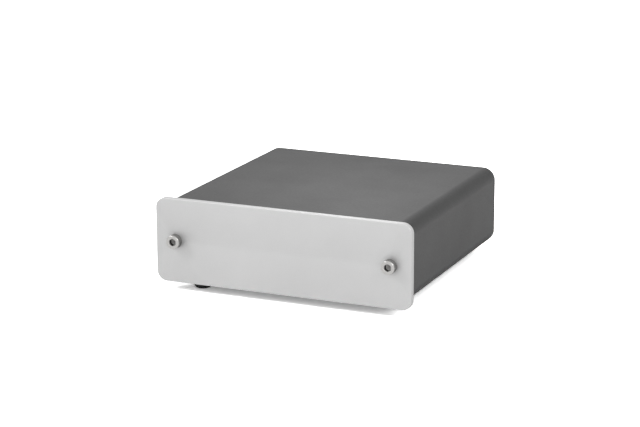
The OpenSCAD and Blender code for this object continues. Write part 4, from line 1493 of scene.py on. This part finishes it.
@dataclass
class BoardParts:
    """What stands on the circuit board, hidden in the closed case: the CAD shapes in their own finishes.

    Attributes:
        dressed: The nodes of each finish.
    """

    dressed: tuple[tuple[Finish, tuple[str, ...]], ...] = (
        (SOLDER_RESIST, ("circuit_board",)),
        (EPOXY, ("op_amps", "rectifier_diodes", "regulator_bodies", "input_transistors")),
        (TINNED, ("op_amp_legs", "resistor_leads", "rectifier_leads", "regulator_tabs", "regulator_legs",
                  "transistor_legs")),
        (SLEEVE_BLUE, ("reservoir_capacitors",)),
        (SLEEVE_BLACK, ("coupling_capacitors",)),
        (BOX_RED, ("filter_capacitors",)),
        (BOX_YELLOW, ("input_capacitors",)),
        (DIPPED_OCHRE, ("ceramic_capacitors",)),
        (LACQUER_BLUE, ("resistors",)),
        (COPPER_WINDING, ("power_choke",)),
        (GOLD_STAMPED, ("load_header_pins",)),
        (BLACK_PBT, ("load_headers",)),
        (JUMPER_BLUE, ("load_jumpers",)),
    )

    def build(self) -> None:
        """Dresses the nodes."""
        for finish, nodes in self.dressed:
            dress(finish, *nodes)


# Studio


@dataclass(frozen=True)
class Lamp:
    """A square soft lamp.

    Attributes:
        name: The lamp's name.
        place: Its middle.
        size: Length of its sides.
        power: Its power in watts.
        aim: The point that it faces.
        spread: The full angle that its light leaves it in, in degrees, which a grid in front of it narrows.
    """

    name: str
    place: Triple
    size: float
    power: float
    aim: Triple = (0, 0, 0)
    spread: float = 180

    def hang(self) -> None:
        """Hangs the lamp."""
        data = bpy.data.lights.new(self.name, "AREA")
        data.shape, data.size, data.energy = "SQUARE", self.size * MM, self.power
        data.spread = math.radians(self.spread)
        lamp = placed(self.name, data)
        lamp.location = Vector(self.place) * MM
        lamp.rotation_euler = (Vector(self.aim) - Vector(self.place)).to_track_quat("-Z", "Y").to_euler()


def seeing_rays(tree: bpy.types.NodeTree) -> tuple[bpy.types.NodeSocket, bpy.types.NodeSocket]:
    """Tells the rays that see the world or the floor from those that are lit by it.

    Args:
        tree: The nodes of the world or of the floor's material.

    Returns:
        An output that is 1 for the camera's rays, and one that is 1 for those of reflections and glass.
    """
    path = add_node(tree, "LightPath").outputs
    shiny = add_node(tree, "Math", {0: path["Is Glossy Ray"], 1: path["Is Transmission Ray"]},
                     operation="MAXIMUM").outputs[0]
    return path["Is Camera Ray"], shiny


@dataclass
class Studio:
    """A pale floor, soft lamps and a camera.

    Attributes:
        azimuth, elevation, roll: The camera's angles, in degrees.
        distance: From the camera to its target.
        target: The point that it looks at.
        lens, sensor: Focal length, and width of the sensor.
        clip: The least and the greatest distance that the camera sees, in metres.
        fill: Strength of the even light from all round.
        white: Strength of the background that shows.
        floor: Half the length of the floor's sides.
        paper: The sRGB colours of the floor's fibres.
        fibres: How many fibres lie on a metre of the floor.
        lifts: How much more light the floor gives back to the camera and to reflections than to the rest.
        haze: Even light over the floor where the camera sees it, which keeps its shadows pale.
        lamps: The lamps.
    """

    azimuth: float = 23.825
    elevation: float = 14.957
    roll: float = -0.264
    distance: float = 841.74
    target: Triple = (-5.631, -5.06, 23.054)
    lens: float = 117.478
    sensor: float = 36
    clip: Pair = (0.01, 50)
    fill: float = 0.55
    white: float = 1.0
    floor: float = 4000
    paper: tuple[str, str] = ("#F4F4F4", "#F0F0F0")
    fibres: float = 900
    lifts: Pair = (1.4, 0.1)
    haze: float = 0.2
    lamps: tuple[Lamp, ...] = (
        Lamp("key", (-740, -500, 700), 250, 4.3),
        Lamp("right", (820, -240, 680), 500, 4.4),
        Lamp("front", (150, -900, 300), 450, 0.6),
        Lamp("behind", (-130, 260, 270), 80, 0.0024, (40, -52, 36), 16),
    )

    def build(self) -> None:
        """Builds the camera, the world, the floor and the lamps."""
        self.place_camera()
        self.light_world()
        self.lay_floor()
        for lamp in self.lamps:
            lamp.hang()
        bpy.context.scene.view_settings.view_transform = "Standard"

    def place_camera(self) -> None:
        """Places the camera on the line from its target at the two angles, then turns it by the roll."""
        side, rise, roll = (math.radians(a) for a in (self.azimuth, self.elevation, self.roll))
        back = np.array([math.sin(side) * math.cos(rise), -math.cos(side) * math.cos(rise), math.sin(rise)])
        right = np.cross(-back, [0, 0, 1])
        right /= np.linalg.norm(right)
        up = np.cross(right, -back)
        pose = np.eye(4)
        pose[:3] = np.stack([math.cos(roll) * right + math.sin(roll) * up,
                             math.cos(roll) * up - math.sin(roll) * right, back,
                             (np.array(self.target) + back * self.distance) * MM], 1)
        data = bpy.data.cameras.new("camera")
        data.sensor_fit, data.sensor_width, data.lens = "HORIZONTAL", self.sensor, self.lens
        data.clip_start, data.clip_end = self.clip
        camera = placed("camera", data)
        camera.matrix_world = Matrix(pose.tolist())
        bpy.context.scene.camera = camera

    def light_world(self) -> None:
        """Lights from all round: white for what sees the background, softer for what is lit by it."""
        world = bpy.data.worlds.new("studio")
        tree = bare_tree(world)
        seen, shiny = seeing_rays(tree)
        share = add_node(tree, "Math", {0: seen, 1: shiny}, operation="MAXIMUM").outputs[0]
        dim, white = (add_node(tree, "Background", {"Color": linear("#FFFFFF"), "Strength": strength})
                      for strength in (self.fill, self.white))
        both = add_node(tree, "MixShader", {0: share, 1: dim.outputs[0], 2: white.outputs[0]})
        add_node(tree, "OutputWorld", {"Surface": both.outputs[0]})
        bpy.context.scene.world = world

    def lay_floor(self) -> None:
        """Lays a pale matt floor, which keeps the object's shadow.

        Its light is the paper's own, plus a second share of it that only the camera and reflections see, plus
        the haze that only the camera sees.
        """
        half = self.floor * MM
        mesh = bpy.data.meshes.new("floor")
        mesh.from_pydata([(-half, -half, 0), (half, -half, 0), (half, half, 0), (-half, half, 0)], [],
                         [(0, 1, 2, 3)])
        made = bpy.data.materials.new("studio_paper_white")
        tree = bare_tree(made)
        place = add_node(tree, "TexCoord").outputs["Object"]
        fibre = add_node(tree, "TexNoise", {"Vector": place, "Scale": self.fibres, "Detail": 2.0}).outputs[0]
        tone = add_node(tree, "Mix", {0: fibre, 6: linear(self.paper[0]), 7: linear(self.paper[1])},
                        data_type="RGBA").outputs[2]
        seen, shiny = seeing_rays(tree)
        mirrored = add_node(tree, "Math", {0: shiny, 1: self.lifts[1]}, operation="MULTIPLY").outputs[0]
        lift = add_node(tree, "Math", {0: seen, 1: self.lifts[0], 2: mirrored},
                        operation="MULTIPLY_ADD").outputs[0]
        pale = add_node(tree, "Math", {0: seen, 1: self.haze}, operation="MULTIPLY").outputs[0]
        light = add_node(tree, "BsdfDiffuse", {"Color": tone}).outputs[0]
        for kind, inputs in (("BsdfDiffuse", {"Color": lift}), ("Emission", {"Strength": pale})):
            more = add_node(tree, kind, inputs).outputs[0]
            light = add_node(tree, "AddShader", {0: light, 1: more}).outputs[0]
        add_node(tree, "OutputMaterial", {"Surface": light})
        mesh.materials.append(made)
        floor = placed("floor", mesh)


def main() -> None:
    """Builds the object and the studio."""
    logging.basicConfig(level=logging.INFO, format="%(message)s")
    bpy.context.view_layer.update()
    for part in (FrontPanel(), Sleeve(), Feet(), RearPanel(), SignalSockets(), GroundTerminal(),
                 PowerSocket(), ModeSwitch(), BoardParts(), Studio()):
        part.build()


if __name__ == "__main__":
    main()
